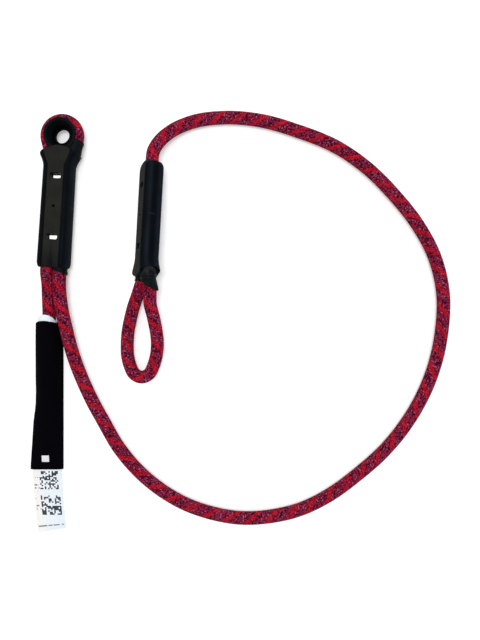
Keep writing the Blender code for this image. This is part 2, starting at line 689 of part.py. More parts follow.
def build_free_rope(thimble_end, soft_end):
    """The main rope and the tail, and the tube end round the main leg, with room for the tail."""
    main_leg = [thimble_end @ Vector((LEG_SPREAD, y, 0)) for y in (sum(THIMBLE_NOSE), -LEG_STRAIGHT)]
    tail_leg = [thimble_end @ Vector((-LEG_SPREAD, y, 0)) for y in (sum(THIMBLE_NOSE), -LEG_STRAIGHT)]
    far_leg = [soft_end @ Vector((0, y, 0)) for y in (-FAR_LEG_OUT, sum(SOFT_EYE_NOSE))]
    main_points = smooth_points([*main_leg, *MAIN_ROUTE, *far_leg], MAIN_STEP)
    tail_points = smooth_points([*tail_leg, *TAIL_ROUTE], TAIL_STEP)
    rope("main_rope", main_points)
    rope("tail_rope", tail_points)
    frame = bpy.data.objects["thimble_end"]
    path = [thimble_end.inverted() @ p for p in main_points]
    collar = leg_tube("main_leg_collar", frame, path, -GAP, COLLAR_LENGTH, COLLAR_SLANT)
    beside = stretch([thimble_end.inverted() @ p for p in tail_points], 0.002, 3 * COLLAR_LENGTH)
    room = capped(circles_along(beside, BORE_R))
    cut(collar, add_mesh("tail_clearance", room, "rope", frame))


def main():
    clear_scene()
    thimble_end = build_thimble_end()
    soft_end = build_soft_end()
    build_free_rope(thimble_end, soft_end)
    id_label("id_label")
    label_sleeve("label_sleeve")
    bpy.context.view_layer.update()


main()
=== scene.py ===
"""Finishes the rope tie-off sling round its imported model.

The file is laid out as an add-on: sizes and colours are properties, each kind of piece has an
operator, and a panel in the 3D view's sidebar lists them. Run as a script, it makes every piece in
turn. Sizes are in metres, in the model's own frame. Each sewn end has a frame of its own: x across the
two rope legs, y along the cover towards the eye and z out of the cover's front face.
"""

import math
from functools import partialmethod
from itertools import accumulate
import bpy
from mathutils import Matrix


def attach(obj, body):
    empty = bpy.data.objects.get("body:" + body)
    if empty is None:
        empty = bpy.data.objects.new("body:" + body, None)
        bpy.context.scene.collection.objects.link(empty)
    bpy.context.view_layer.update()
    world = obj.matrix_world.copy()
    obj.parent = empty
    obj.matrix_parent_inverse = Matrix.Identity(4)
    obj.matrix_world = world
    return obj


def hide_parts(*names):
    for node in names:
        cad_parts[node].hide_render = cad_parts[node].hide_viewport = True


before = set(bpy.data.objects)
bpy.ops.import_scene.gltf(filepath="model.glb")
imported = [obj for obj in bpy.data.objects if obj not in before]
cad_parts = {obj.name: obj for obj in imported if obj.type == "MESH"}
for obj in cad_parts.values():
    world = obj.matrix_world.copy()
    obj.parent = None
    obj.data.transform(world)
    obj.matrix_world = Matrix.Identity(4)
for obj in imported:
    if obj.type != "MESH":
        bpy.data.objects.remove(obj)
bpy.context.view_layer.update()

from types import SimpleNamespace

import bmesh
import bpy
from mathutils import Matrix, Vector, noise
from mathutils.geometry import interpolate_bezier

bl_info = {
    "name": "Rope tie-off sling",
    "version": (1, 0, 0),
    "blender": (4, 5, 0),
    "location": "3D View > Sidebar > Sling",
    "description": "Finishes the sling's rope, moulded covers, thimble, tubes, stitching, label and sleeve",
    "category": "Object",
}

# Sizes of the model that the finish follows
GAP = 0.0003
TUBE_WALL = 0.0005
COVER_LENGTH = 0.1025
COVER_WIDTH = 0.026
PLAIN_END_WIDTH = 0.0271
COVER_DEPTH = 0.016
COVER_CORNER = 0.006
COVER_WALL = 0.0013
# Groove between the two legs on both faces, at the plain end that holds both: width, depth and reach
LEG_GROOVE = (0.0078, 0.0008, 0.026)
NOSE_EDGE = 0.0008
FLARE_START = 0.086
FLARE_END = 0.097
FLARE_POWER = 1.5
LIP_WIDTH = 0.0348
LIP_DEPTH = 0.0172
# The side arches at -x and at +x: depth, and power that makes the curve broad or pointed
ARCHES = ((0.0084, 0.65), (0.0070, 0.90))
WINDOW_WIDTH = 0.0096
WINDOW_HEIGHT = 0.0047
WINDOW_SPACING = 0.0513
PIN_HOLE_D = 0.0026
SEWN_END = 0.088
TACK_WIDTH = 0.0092
TACK_HEIGHT = 0.0046
TACK_THICKNESS = 0.0024
TACK_CORE = 0.8
LEG_STRAIGHT = 0.003
BAND_START = 0.0918
BAND_EASE = 1.1
BAND_FOLD = 0.0004
UNDER_BAND = 0.0020
THIMBLE_TUBE_LENGTH = 0.0130
# How far the thimble end's tube stands off the rope at its foot, on the outer side
TUBE_SKIRT = 0.0030
SOFT_EYE_TUBE_LENGTH = 0.0125
SOFT_EYE_TUBE_SLANT = 0.0105
LOWER_TUBE_LENGTH = 0.0050
LOWER_TUBE_SLANT = 0.0030
COLLAR_LENGTH = 0.006
COLLAR_SLANT = 0.0045
THIMBLE_BORE = 0.012
THIMBLE_WAIST_WALL = 0.00145
THIMBLE_WAIST_DROP = 0.0015
THIMBLE_MOUTH_D = 0.024
THIMBLE_FLANGE_D = 0.0281
THIMBLE_WIDTH = 0.0136
THIMBLE_EDGE = 0.0008
THIMBLE_PLACE = Vector((0.0006, 0.1127, 0.0))
LABEL_WIDTH = 0.0252
LABEL_THICKNESS = 0.0004
# The label's askew lower end and its arched upper end: size and reach
LABEL_SKEW = (0.0040, 0.01)
LABEL_ARCH = (0.0065, 0.012)
SLEEVE_WALL = 0.0006
SLEEVE_EDGE = 0.0024
SLEEVE_BULGE_POWER = 0.46
# The sleeve's arched upper end: rise in the middle, fall at the edges, reach
SLEEVE_ARCH = (0.0010, 0.0032, 0.02)
# Its ribbed hem and the gathers below it: height, pitch and reach
SLEEVE_HEM = (0.0004, 0.0019, 0.0075)
SLEEVE_GATHERS = (0.00012, 0.0021, 0.018)
PATCH_THICKNESS = 0.0004
FLOOR_Z = -0.00005

ROPE_R = 0.0055
ROPE_STEP = 0.0015
THREAD_STEP = 0.0006
COVER_STEP = 0.004
LEG_STEP = 0.003
LEG_SPREAD = ROPE_R + GAP / 2
BORE_R = ROPE_R + GAP
BORE_CORNER = 0.97 * BORE_R
EYE_R = THIMBLE_BORE / 2 + THIMBLE_WAIST_WALL + BORE_R
WINDOW_PLACES = (COVER_LENGTH / 2 - WINDOW_SPACING / 2, COVER_LENGTH / 2 + WINDOW_SPACING / 2)

# The rope's routes, in order. A point without a height lies on the floor.
SOFT_EYE_LEG = ((LEG_SPREAD, GAP), (LEG_SPREAD, LEG_STRAIGHT), (LEG_SPREAD + 0.0011, 0.0125))
MAIN_ROUTE = (
    (-0.1530, 0.0325, 0.0113), (-0.1522, 0.0212, 0.0114), (-0.1507, 0.0102, 0.0110),
    (-0.1488, 0.0007, 0.0104), (-0.1467, -0.0096, 0.0095), (-0.1424, -0.0276, 0.0077),
    (-0.1353, -0.0479, 0.0063), (-0.1266, -0.0673, 0.0057), (-0.1162, -0.0863), (-0.1047, -0.1063),
    (-0.0894, -0.1251), (-0.0702, -0.1420), (-0.0472, -0.1558), (-0.0247, -0.1638),
    (0.0017, -0.1683), (0.0282, -0.1668), (0.0532, -0.1607), (0.0761, -0.1496), (0.1024, -0.1306),
    (0.1252, -0.1103), (0.1441, -0.0871), (0.1590, -0.0616), (0.1695, -0.0339), (0.1752, -0.0044),
    (0.1759, 0.0263), (0.1688, 0.0567), (0.1542, 0.0845), (0.1347, 0.1093), (0.1117, 0.1325),
    (0.0839, 0.1518), (0.0515, 0.1651), (0.0156, 0.1750), (-0.0139, 0.1770),
    (-0.0429, 0.1722, 0.0062), (-0.0603, 0.1627, 0.0083), (-0.0688, 0.1535, 0.0106), (-0.0723, 0.1468, 0.0121),
)
TAIL_ROUTE = (
    (-0.1637, 0.0325, 0.0079), (-0.1636, 0.0197, 0.0070), (-0.1633, 0.0082, 0.0067),
    (-0.1638, -0.0136, 0.0067), (-0.1643, -0.0336, 0.0067),
)
SOFT_EYE_ROUTE = (
    (-0.0743, 0.0267, 0.0192), (-0.0749, 0.0157, 0.0153), (-0.0733, 0.0072, 0.0121),
    (-0.0718, -0.0018, 0.0095), (-0.0707, -0.0103, 0.0073), (-0.0704, -0.0198, 0.0059),
    (-0.0715, -0.0288), (-0.0740, -0.0373), (-0.0777, -0.0441), (-0.0840, -0.0468), (-0.0903, -0.0441),
    (-0.0939, -0.0373), (-0.0961, -0.0288), (-0.0965, -0.0183), (-0.0958, -0.0080, 0.0056),
    (-0.0938, 0.0024, 0.0060), (-0.0909, 0.0132, 0.0070), (-0.0872, 0.0230, 0.0085),
    (-0.0846, 0.0300, 0.0098),
)

# Sleeve: y, left edge x, right edge x, crest x, height
SLEEVE_STATIONS = (
    (0.0007, -0.1766, -0.1532, -0.1655, 0.0162),
    (-0.0430, -0.1769, -0.1531, -0.1657, 0.0158),
    (-0.0680, -0.1774, -0.1531, -0.1651, 0.0104),
    (-0.0883, -0.1795, -0.1531, -0.1662, 0.0076),
    (-0.1273, -0.1818, -0.1531, -0.1674, 0.0034),
)
# Label: y, centre x, half angle of its roll in degrees, height of its long edges
LABEL_STATIONS = (
    (0.0069, -0.1648, 95.0, 0.0063),
    (-0.0400, -0.1655, 95.0, 0.0063),
    (-0.0560, -0.1655, 75.0, 0.0015),
    (-0.0758, -0.1654, 62.0, 0.0011),
    (-0.0998, -0.1666, 36.0, 0.0011),
    (-0.1273, -0.1674, 10.0, 0.0011),
    (-0.1418, -0.1667, 4.0, 0.0011),
    (-0.1618, -0.1652, 1.0, 0.0004),
    (-0.1814, -0.1634, 1.0, 0.0002),
)

# Patch on the sleeve: left, right, lower and upper edge
PATCH = (-0.1706, -0.1644, -0.1203, -0.1147)

# A moulded section's points run from the middle of the front face round by +x
FACE_STEPS = 6
SIDE_STEPS = 2
CORNER_STEPS = 8
SECTION_POINTS = 4 * (FACE_STEPS + CORNER_STEPS + SIDE_STEPS)
MOUTH_RINGS = 14
TUBE_RINGS = 13
THIMBLE_SIDES = 96
# Edges sharper than these, in degrees, stay sharp
PIECE_CREASE = 40
COVER_CREASE = 50

# Lamps: name, place, size, share of the power, colour
LAMPS = (
    ("left", (-0.75, -0.10, 0.75), 0.8, 0.12, (1.0, 0.97, 0.90)),
    ("back", (0.10, 0.80, 0.80), 0.8, 0.18, (1.0, 1.0, 1.0)),
    ("right", (1.00, -0.05, 0.20), 0.5, 0.26, (0.55, 0.78, 1.0)),
    ("top", (-0.02, 0.10, 1.10), 0.4, 0.44, (1.0, 1.0, 1.0)),
)
WHITE = (1.0, 1.0, 1.0, 1.0)
# The point on the floor right below the camera
CAMERA_OVER = (0.0008, 0.00245)


def end_frame(base, towards, roll):
    """The place of a sewn end: y from base to towards and z up, then turned about y by roll."""
    along = (Vector(towards) - Vector(base)).normalized()
    across = along.cross(Vector((0, 0, 1))).normalized()
    axes = Matrix((across, along, across.cross(along))).transposed().to_4x4()
    return Matrix.Translation(base) @ axes @ Matrix.Rotation(math.radians(roll), 4, "Y")


# The sewn ends: place from the centre of the plain end, a point on the axis towards the eye and the roll
# in degrees; start and length of the round nose; rope legs that leave it; the rope of its eye; y of the
# band's end, and of the tacks that are named lower and upper
THIMBLE, SOFT_EYE = ENDS = (
    SimpleNamespace(name="thimble", at=end_frame((-0.15865, 0.04715, 0.0092), (-0.1516, 0.15995, 0.0092), -3.0),
                    nose=(0.0, 0.005), legs=2, eye="thimble_eye_rope", band_end=0.09775, tacks=WINDOW_PLACES),
    SimpleNamespace(name="soft_eye", at=end_frame((-0.0734, 0.14055, 0.0133), (-0.0783, 0.04115, 0.0168), 63.0),
                    nose=(0.0053, 0.0070), legs=1, eye="soft_eye_rope", band_end=0.1018,
                    tacks=WINDOW_PLACES[::-1]),
)


def size(name, default, description):
    return bpy.props.FloatProperty(name=name, description=description, default=default, min=0.0,
                                   precision=5, unit="LENGTH", subtype="DISTANCE")


def colour(name, default, of):
    return bpy.props.FloatVectorProperty(name=name, description="Colour of " + of, default=default, size=3,
                                         min=0.0, max=1.0, subtype="COLOR")


def number(name, default, description, least=0.0, kind=bpy.props.FloatProperty, **more):
    return kind(name=name, description=description, default=default, min=least, **more)


class SheathLook(bpy.types.PropertyGroup):
    yarns: number("Yarns", 36, "Braided yarns that run each way round the sheath", 8, bpy.props.IntProperty, step=4)
    stripe_yarns: number("Stripe yarns", 5, "Red yarns side by side in each stripe", 0, bpy.props.IntProperty)
    turn: size("Turn", 0.0354, "Length of rope in which a yarn goes once round")
    relief: size("Relief", 0.0003, "Height of the yarns' crowns over their edges")
    stripe: colour("Stripe", (0.84, 0.014, 0.026), "the two spiral stripes")
    crimson: colour("Crimson", (0.42, 0.009, 0.048), "most yarns that cross the stripes")
    wine: colour("Wine", (0.105, 0.002, 0.019), "the darker red yarns of both sets")
    mauve: colour("Mauve", (0.30, 0.028, 0.084), "the dull purple yarns beside the stripes")
    navy: colour("Navy", (0.022, 0.002, 0.016), "the darkest yarns")
    fleck: colour("Fleck", (0.50, 0.11, 0.20), "the sheath's pale flecks")


class CoverLook(bpy.types.PropertyGroup):
    # The panels' paler colour is partly painted overhead light, and the corners' blue colour is partly painted
    # bluish light from the right.
    panel: colour("Panels", (0.0188, 0.0193, 0.0167), "the grained panels on both faces")
    smooth: colour("Corners", (0.0046, 0.0066, 0.0098), "the smooth corners and sides")
    worn: colour("Worn edge", (0.030, 0.031, 0.030), "the edges that are rubbed pale")
    panel_width: size("Panel width", 0.0142, "Width of the grained panels")
    edge: size("Edge radius", 0.00035, "Rounding of the windows' and the mouth's edges")
    grain: size("Grain", 0.00035, "Size of the moulded grain")


class ThimbleLook(bpy.types.PropertyGroup):
    plastic: colour("Bore", (0.0006, 0.0012, 0.0016), "the thimble's bore")
    flange: colour("Flange", (0.0046, 0.0070, 0.0084), "the flange that connectors rub")


class TubeLook(bpy.types.PropertyGroup):
    rubber: colour("Rubber", (0.0016, 0.0032, 0.0038), "the shrunk tubes")
    # The dust colour is partly dust and partly painted highlight on the band.
    dust: colour("Dust", (0.023, 0.025, 0.028), "the dust in the tubes' folds")
    wrinkle: size("Wrinkle", 0.00022, "Height of the tubes' wrinkles")


class ThreadLook(bpy.types.PropertyGroup):
    thread: colour("Thread", (0.95, 0.95, 0.94), "the bar tacks' thread")
    # Emission that makes the thread glow as painted light, so that it stays white in the shade of the windows.
    painted_glow: number("Painted emission", 0.6, "Light that the thread's painted emission gives back")
    thickness: size("Thickness", 0.00046, "Diameter of the sewing thread")


class LabelLook(bpy.types.PropertyGroup):
    tape: colour("Tape", (0.83, 0.90, 0.98), "the woven tape")
    margin: colour("Margin", (0.94, 0.92, 0.90), "the tape's yellowed left margin")
    ink: colour("Print", (0.004, 0.004, 0.012), "the printed blocks and bars")


class SleeveLook(bpy.types.PropertyGroup):
    knit: colour("Knit", (0.0012, 0.0012, 0.0022), "the knitted sleeve")
    patch: colour("Patch", (0.93, 0.94, 0.95), "the plain patch near the sleeve's lower end")
    rib: size("Rib", 0.0009, "Width of the knitted ribs")


class StageLook(bpy.types.PropertyGroup):
    camera_height: size("Camera height", 0.4205, "Height of the camera over the floor")
    lens: number("Lens", 27.05, "Focal length for a 36 mm sensor", 1.0, unit="CAMERA")
    floor: colour("Floor", (0.93, 0.93, 0.93), "the floor")
    lamp: number("Lamps", 10.5, "Power of the soft lamps together", unit="POWER")
    sky: number("Sky", 0.45, "Strength of the even light from all round")


# Finishes


class Value:
    """A node's output, with which sums are written as with a number."""

    def __init__(self, nodes, socket):
        self.nodes, self.socket = nodes, socket

    def sum(self, operation, *others):
        return self.nodes.node("Math", self, *others, operation=operation)

    __add__ = partialmethod(sum, "ADD")
    __sub__ = partialmethod(sum, "SUBTRACT")
    __mul__ = partialmethod(sum, "MULTIPLY")
    __mod__ = partialmethod(sum, "FLOORED_MODULO")
    __pow__ = partialmethod(sum, "POWER")
    __lt__ = partialmethod(sum, "LESS_THAN")
    __gt__ = partialmethod(sum, "GREATER_THAN")
    __abs__ = partialmethod(sum, "ABSOLUTE")
    floor = partialmethod(sum, "FLOOR")
    fract = partialmethod(sum, "FRACT")
    sine = partialmethod(sum, "SINE")

    def arch(self):
        """Up from 0 to 1 and down again, as this value goes from 0 to 1."""
        return (self * math.pi).sine()

    def inside(self, low, high):
        """1 between low and high, 0 elsewhere."""
        return (self > low) * (self < high)

    def span(self, low, high, to_low=0.0, to_high=1.0):
        """This value carried from low and high to the other two, and held between them."""
        return self.nodes.node("MapRange", self, low, high, to_low, to_high)

    def between(self, first, second):
        """A colour from first to second, as this value goes from 0 to 1."""
        pair = (paint if isinstance(paint, Value) else (*paint, 1.0) for paint in (first, second))
        return self.nodes.node("Mix", self, *[None] * 5, *pair, data_type="RGBA", output=2)

    def steps(self, *stops):
        """Colours by value. Each stop is the place from which its colour is used."""
        made = self.nodes.node("ValToRGB", self)
        ramp = made.socket.node.color_ramp
        ramp.interpolation = "CONSTANT"
        while len(ramp.elements) < len(stops):
            ramp.elements.new(0.5)
        for element, (place, paint) in zip(ramp.elements, stops):
            element.position, element.color = place, (*paint, 1.0)
        return made


class Nodes:
    """A node tree, with short calls for its nodes."""

    def __init__(self, tree):
        self.tree = tree

    def node(self, kind, *sources, output=0, **settings):
        """A node's output. Sources go to its inputs in order, and a capitalised setting to the input it names."""
        made = self.tree.nodes.new("ShaderNode" + kind)
        for name, value in settings.items():
            if name[0].isupper():
                self.feed(made.inputs[name], value)
            else:
                setattr(made, name, value)
        for socket, source in zip(made.inputs, sources):
            self.feed(socket, source)
        return Value(self, made.outputs[output])

    def feed(self, socket, source):
        if isinstance(source, Value):
            self.tree.links.new(source.socket, socket)
        elif source is not None:
            socket.default_value = source

    def split(self, vector):
        parts = self.node("SeparateXYZ", vector).socket.node.outputs
        return [Value(self, part) for part in parts]

    def clouds(self, vector, scale, detail=2.0, roughness=0.5):
        """Noise from 0 to 1 about 0.5."""
        return self.node("TexNoise", vector, Scale=scale, Detail=detail, Roughness=roughness, output="Fac")

    def join(self, *parts):
        return self.node("CombineXYZ", *parts)

    def chance(self, *parts):
        """A steady random number from 0 to 1 for each whole-number place."""
        return self.node("TexWhiteNoise", self.join(*parts), noise_dimensions="3D", output="Value")

    def scaled(self, vector, factor):
        return self.node("VectorMath", vector, operation="SCALE", Scale=factor)

    def stretched(self, vector, factors):
        return self.node("VectorMath", vector, factors, operation="MULTIPLY")


class Finish(Nodes):
    """A material in the making."""

    def __init__(self, name, **fixed):
        self.material = bpy.data.materials.new(name)
        self.material.use_nodes = True
        super().__init__(self.material.node_tree)
        self.shader = self.tree.nodes["Principled BSDF"]
        self.give(**fixed)

    def give(self, **sources):
        """Feeds the shader's inputs, by name."""
        for name, source in sources.items():
            self.feed(self.shader.inputs[name.replace("_", " ")], source)

    def place(self, at=None):
        """The point's place, in the frame of a sewn end where one is given."""
        here = self.node("TexCoord", output="Object")
        if at is None:
            return here
        return self.node("Mapping", here, at.translation, at.to_euler(), vector_type="TEXTURE")

    def mapped(self):
        """The point's u and v on its piece's map."""
        return self.split(self.node("UVMap", uv_map="Along"))[:2]

    def surface(self, paint, roughness=None, height=None, depth=0.0, strength=1.0):
        self.give(Base_Color=paint, Roughness=roughness)
        if height is not None:
            self.give(Normal=self.node("Bump", Strength=strength, Distance=depth, Height=height))
        return self.material


def braided_sheath(look):
    """Two sets of yarns braided two over two, in reds, violet and navy, with a red stripe twice round.

    The map's u goes once round the rope, and its v is the distance along it in metres.
    """
    finish = Finish("braided_sheath", Roughness=0.8, Specular_IOR_Level=0.05)
    u, v = finish.mapped()
    around, along = u * look.yarns, v * (look.yarns / look.turn)
    left, right = along + around, along - around
    left_yarn, right_yarn = left.floor(), right.floor()

    def float_of(yarn, across, crossed, over):
        """How a yarn shows: whether it is on top, its round height, and which float it is."""
        shifted = crossed + yarn - over
        cycle = shifted % 4.0
        bow = (cycle * 0.5).sum("MINIMUM", 1.0).arch()
        return cycle < 2.0, across.fract().arch() ** 0.6 * bow ** 0.4, (shifted * 0.25).floor()

    left_on_top, left_height, left_float = float_of(left_yarn, left, right, 0.0)
    _, right_height, right_float = float_of(right_yarn, right, left, 2.0)

    def dealt(yarn, which, seed, *stops):
        """A colour for each float, dealt by chance, and more alike along one yarn."""
        wrapped = yarn % look.yarns
        own = finish.chance(wrapped, which, seed)
        kind = finish.chance(wrapped, (which * 0.2).floor(), seed + 4.0)
        return (own * 0.85 + kind * 0.15).steps(*stops), wrapped

    left_colour, left_wrapped = dealt(
        left_yarn, left_float, 1.0,
        (0.0, look.navy), (0.27, look.wine), (0.46, look.mauve), (0.78, look.fleck))
    right_colour, _ = dealt(
        right_yarn, right_float, 2.0,
        (0.0, look.navy), (0.17, look.wine), (0.34, look.crimson), (0.76, look.mauve))
    half = look.yarns / 2
    tone = finish.chance(left_wrapped, left_float, 30.0)
    red = tone.span(0.35, 0.9, 0.0, 0.9).between(look.stripe, look.wine)
    left_colour = (left_wrapped % half < look.stripe_yarns).between(left_colour, red)
    # The yarns that cross the stripe are redder there, because its fibres spread over them
    right_colour = ((left % half < look.stripe_yarns) * 0.35).between(right_colour, look.stripe)

    def on_top(below, above):
        return finish.node("Mix", left_on_top, None, below, above, data_type="FLOAT")

    def fibres_of(across, lengthwise):
        return finish.clouds(finish.join(across * 8.0, lengthwise * 0.9), 1.0)

    height = on_top(right_height, left_height)
    fibres = on_top(fibres_of(right, left), fibres_of(left, right))
    shade = height.span(0.15, 0.85, 0.04, 1.25) * fibres.span(0.3, 0.7, 0.75, 1.2)
    paint = finish.scaled(left_on_top.between(right_colour, left_colour), shade)
    return finish.surface(paint, None, height + fibres * 0.18, look.relief, 0.9)


def moulded_plastic(look, end):
    """Charcoal plastic: a grained panel on each face, smooth corners, pale rubbed edges. The panels are paler and
    the corners bluer partly by their finish and partly as painted light: overhead light on the faces, bluish light
    from the right on the corners.

    Where the plain end holds two legs, the panel is darker over the groove between them, as painted shade.
    """
    finish = Finish("moulded_plastic", Specular_IOR_Level=0.013)
    place = finish.place(end.at)
    x, y, z = finish.split(place)
    beyond = abs(x) - look.panel_width / 2 - y.span(FLARE_START, FLARE_END) * ((LIP_WIDTH - COVER_WIDTH) / 2)
    face = abs(z).span(COVER_DEPTH / 2 - 0.0030, COVER_DEPTH / 2 - 0.0022)
    panel = beyond.span(0.0003, -0.0002) * face
    crease = abs(beyond).span(0.0, 0.0006, 1.0, 0.0) * face
    fine = finish.clouds(place, 0.5 / look.grain)
    broad = finish.clouds(place, 90.0, 3.0, 0.6)
    scuffs = finish.clouds(finish.stretched(place, (1.0, 0.25, 1.0)), 900.0, 2.0, 0.7)
    # The panel's paler colour fades towards the plain end, as painted shade over the rounder nose.
    shown = panel * y.span(0.002, 0.020, 0.55, 1.0)
    # Painted shade: the panel colour turns darker over the groove between the two legs.
    if end.legs == 2:
        width, _, reach = LEG_GROOVE
        shown = shown - shown * abs(x).span(0.0, width / 2, 0.75, 0.0) * y.span(0.2 * reach, reach, 1.0, 0.0)
    # Painted highlight: the corners are paler along a line on each side of the mould's flat sides, and darker away
    # from it.
    corner_highlight_line = abs(abs(z) - 0.0042)
    smooth = finish.scaled(look.smooth, corner_highlight_line.span(0.0, 0.0030, 1.75, 0.55))
    # Paler panels over blue-black corners: partly the plastic's finish, partly painted overhead light and painted
    # bluish light.
    paint = finish.scaled(shown.between(smooth, look.panel), broad.span(0.3, 0.7, 0.82, 1.18))
    # Painted shade: a dark line along the edge of each panel.
    paint = (crease * 0.75).between(paint, 0.2 * look.smooth)
    # The moulding's gate leaves a short pale line half way along each side
    middle = abs(y - COVER_LENGTH / 2).span(0.0002, 0.0006, 1.0, 0.0)
    side = abs(x) > COVER_WIDTH / 2 - 0.0022
    paint = (middle * side * ((abs(z - 0.0014) < 0.0026) * 0.5)).between(paint, look.worn)
    edges = finish.node("NewGeometry", output="Pointiness").span(0.53, 0.64)
    paint = (edges * broad.span(0.35, 0.65, 0.15, 0.7)).between(paint, look.worn)
    rough = scuffs.span(0.35, 0.7, 0.32, 0.44) + panel * 0.22
    return finish.surface(paint, rough, fine * panel, look.grain * 0.25, 0.35)


def turned_plastic(look, at):
    """Black plastic turned smooth, in fine rings, its flange and outer face greyer than its bore."""
    finish = Finish("turned_plastic", Specular_IOR_Level=0.015)
    place = finish.place(at)
    x, y, z = finish.split(place)
    radius = (x * x + y * y).sum("SQRT")
    outer = radius.span(THIMBLE_MOUTH_D / 2 - 0.0012, THIMBLE_MOUTH_D / 2)
    rings = finish.clouds(finish.join(radius * 5000.0, z * 5000.0), 1.0)
    scuffs = finish.clouds(place, 700.0, 3.0, 0.7)
    paint = finish.scaled(outer.between(look.plastic, look.flange), scuffs.span(0.3, 0.7, 0.75, 1.35))
    return finish.surface(paint, scuffs.span(0.3, 0.7, 0.26, 0.42), rings, 0.00003, 0.4)


def shrunk_rubber(look, name, dust_and_sheen):
    """Black shrunk tube: satin, with faint rings where it gathered and more or less dust in them. Much dust is
    partly dust and partly painted highlight; with little dust the tube is darker, as painted shade.
    """
    finish = Finish(name, Specular_IOR_Level=0.04)
    place = finish.place()
    folds = finish.clouds(finish.stretched(place, (1.0, 2.2, 1.0)), 420.0, 3.0, 0.6)
    dust = finish.clouds(place, 260.0, 4.0, 0.6)
    paint = dust.span(0.36, 0.62, 0.0, dust_and_sheen).between(look.rubber, look.dust)
    return finish.surface(paint, folds.span(0.3, 0.7, 0.26, 0.46), folds, 2.5 * look.wrinkle, 0.9)


def sewing_thread(look):
    """White twisted thread, its plies as slanted lines, darker between them as painted shade; it glows a little, as
    painted light, so that it stays white in the shade of the window.
    """
    finish = Finish("sewing_thread", Roughness=0.6, Emission_Color=WHITE, Emission_Strength=look.painted_glow)
    u, v = finish.mapped()
    ply = (u * 3.0 + v * (1.0 / (2.4 * look.thickness))).fract().arch()
    # Painted shade: the thread is darker in the hollows between its plies.
    paint = ply.span(0.0, 0.7).between(0.7 * look.thread, look.thread)
    return finish.surface(paint, None, ply, 0.25 * look.thickness, 0.8)


# The label's print. Blocks of chance cells: left edge, bottom edge, size, cells to a side
BLOCKS = ((0.0061, 0.0364, 0.0160, 12), (0.0056, 0.0137, 0.0172, 13))
# Rows of dashes: left edge, right edge, middle height, thickness
ROWS = (
    (0.0010, 0.0052, 0.0466, 0.0006), (0.0010, 0.0048, 0.0402, 0.0013), (0.0014, 0.0054, 0.0376, 0.0013),
    (0.0008, 0.0048, 0.0284, 0.0006), (0.0012, 0.0044, 0.0218, 0.0013), (0.0012, 0.0052, 0.0188, 0.0013),
    (0.0014, 0.0236, 0.0046, 0.0011),
)


def printed_tape(look):
    """White woven tape that glows a little, as painted light, with plain printed blocks and bars, which stand for
    no writing.

    The map's u goes across the label from 0 to 1, and its v is the distance in metres from its lower end.
    """
    finish = Finish("printed_tape", Specular_IOR_Level=0.2, Emission_Strength=0.08)
    u, v = finish.mapped()
    x = u * LABEL_WIDTH
    ink = 0.0
    for seed, (left, bottom, side, cells) in enumerate(BLOCKS, 1):
        column, row = ((x - left) * (cells / side)).floor(), ((v - bottom) * (cells / side)).floor()
        dark = finish.chance(column, row, seed) > 0.50
        block = dark * (x.inside(left, left + side) * v.inside(bottom, bottom + side))
        ink = block.sum("MAXIMUM", ink)
    for seed, (left, right, middle, thick) in enumerate(ROWS, 5):
        shown = finish.chance((x * (1.0 / 0.0009)).floor(), seed, seed) > 0.3
        here = x.inside(left, right) * v.inside(middle - thick / 2, middle + thick / 2)
        ink = ink.sum("MAXIMUM", shown * here * 0.8)
    weave = (x * (2 * math.pi / 0.0005)).sine() * (v * (2 * math.pi / 0.0004)).sine()
    soil = finish.clouds(finish.place(), 120.0, 4.0, 0.6)
    tape = finish.scaled(u.span(0.1, 0.5).between(look.margin, look.tape), soil.span(0.45, 0.8, 1.0, 0.93))
    paint = (ink * 0.96).between(tape, look.ink)
    # The painted glow takes the tape's own colours.
    finish.give(Emission_Color=paint)
    return finish.surface(paint, weave.span(-1.0, 1.0, 0.42, 0.58), weave, 0.00006, 0.5)


def knitted_fabric(look):
    """Matt black knit: ribs along the sleeve, stitches across them, a little lint, and a painted sheen that makes
    the ribs' crowns paler.

    The map's u is the distance round the sleeve in metres, and its v the distance along it.
    """
    finish = Finish("knitted_fabric", Roughness=0.95, Specular_IOR_Level=0.02)
    u, v = finish.mapped()
    rib = (u * (1.0 / look.rib)).fract()
    stitch = (v * (1.0 / (0.8 * look.rib)) + abs(rib - 0.5)).fract()
    height = rib.arch() * stitch.arch().span(0.0, 1.0, 0.6, 1.0)
    lint = finish.clouds(finish.place(), 1500.0, 3.0, 0.7)
    # Lint and a painted sheen: the crowns of the ribs and stitches are paler.
    pale = lint.span(0.60, 0.72) * 0.25 + height.span(0.2, 1.0, 0.0, 0.25)
    return finish.surface(pale.between(look.knit, 4.0 * look.knit), None, height, 0.00025, 0.7)


def woven_patch(look):
    """Plain white patch in a slanted weave, darker in the weave's hollows as painted shade."""
    finish = Finish("woven_patch", Roughness=0.7, Specular_IOR_Level=0.2)
    weave = finish.node("TexWave", finish.place(), bands_direction="DIAGONAL", Scale=900.0, output="Fac")
    return finish.surface(weave.between(0.75 * look.patch, look.patch), None, weave, 0.00008, 0.6)


# Shapes


def blend(low, high, share):
    return low + (high - low) * share


def held(value):
    return min(1.0, max(0.0, value))


def faded(form, away):
    """The form's first size, less and less as far as its last."""
    return form[0] * held(1 - away / form[-1])


def spaced(first, last, count):
    return [blend(first, last, k / (count - 1)) for k in range(count)]


def turns(count):
    """Angles evenly spaced round a circle."""
    return [2 * math.pi * n / count for n in range(count)]


def quarter(steps):
    """Angles over a quarter of a circle, with both ends."""
    return [math.pi / 2 * k / steps for k in range(steps + 1)]


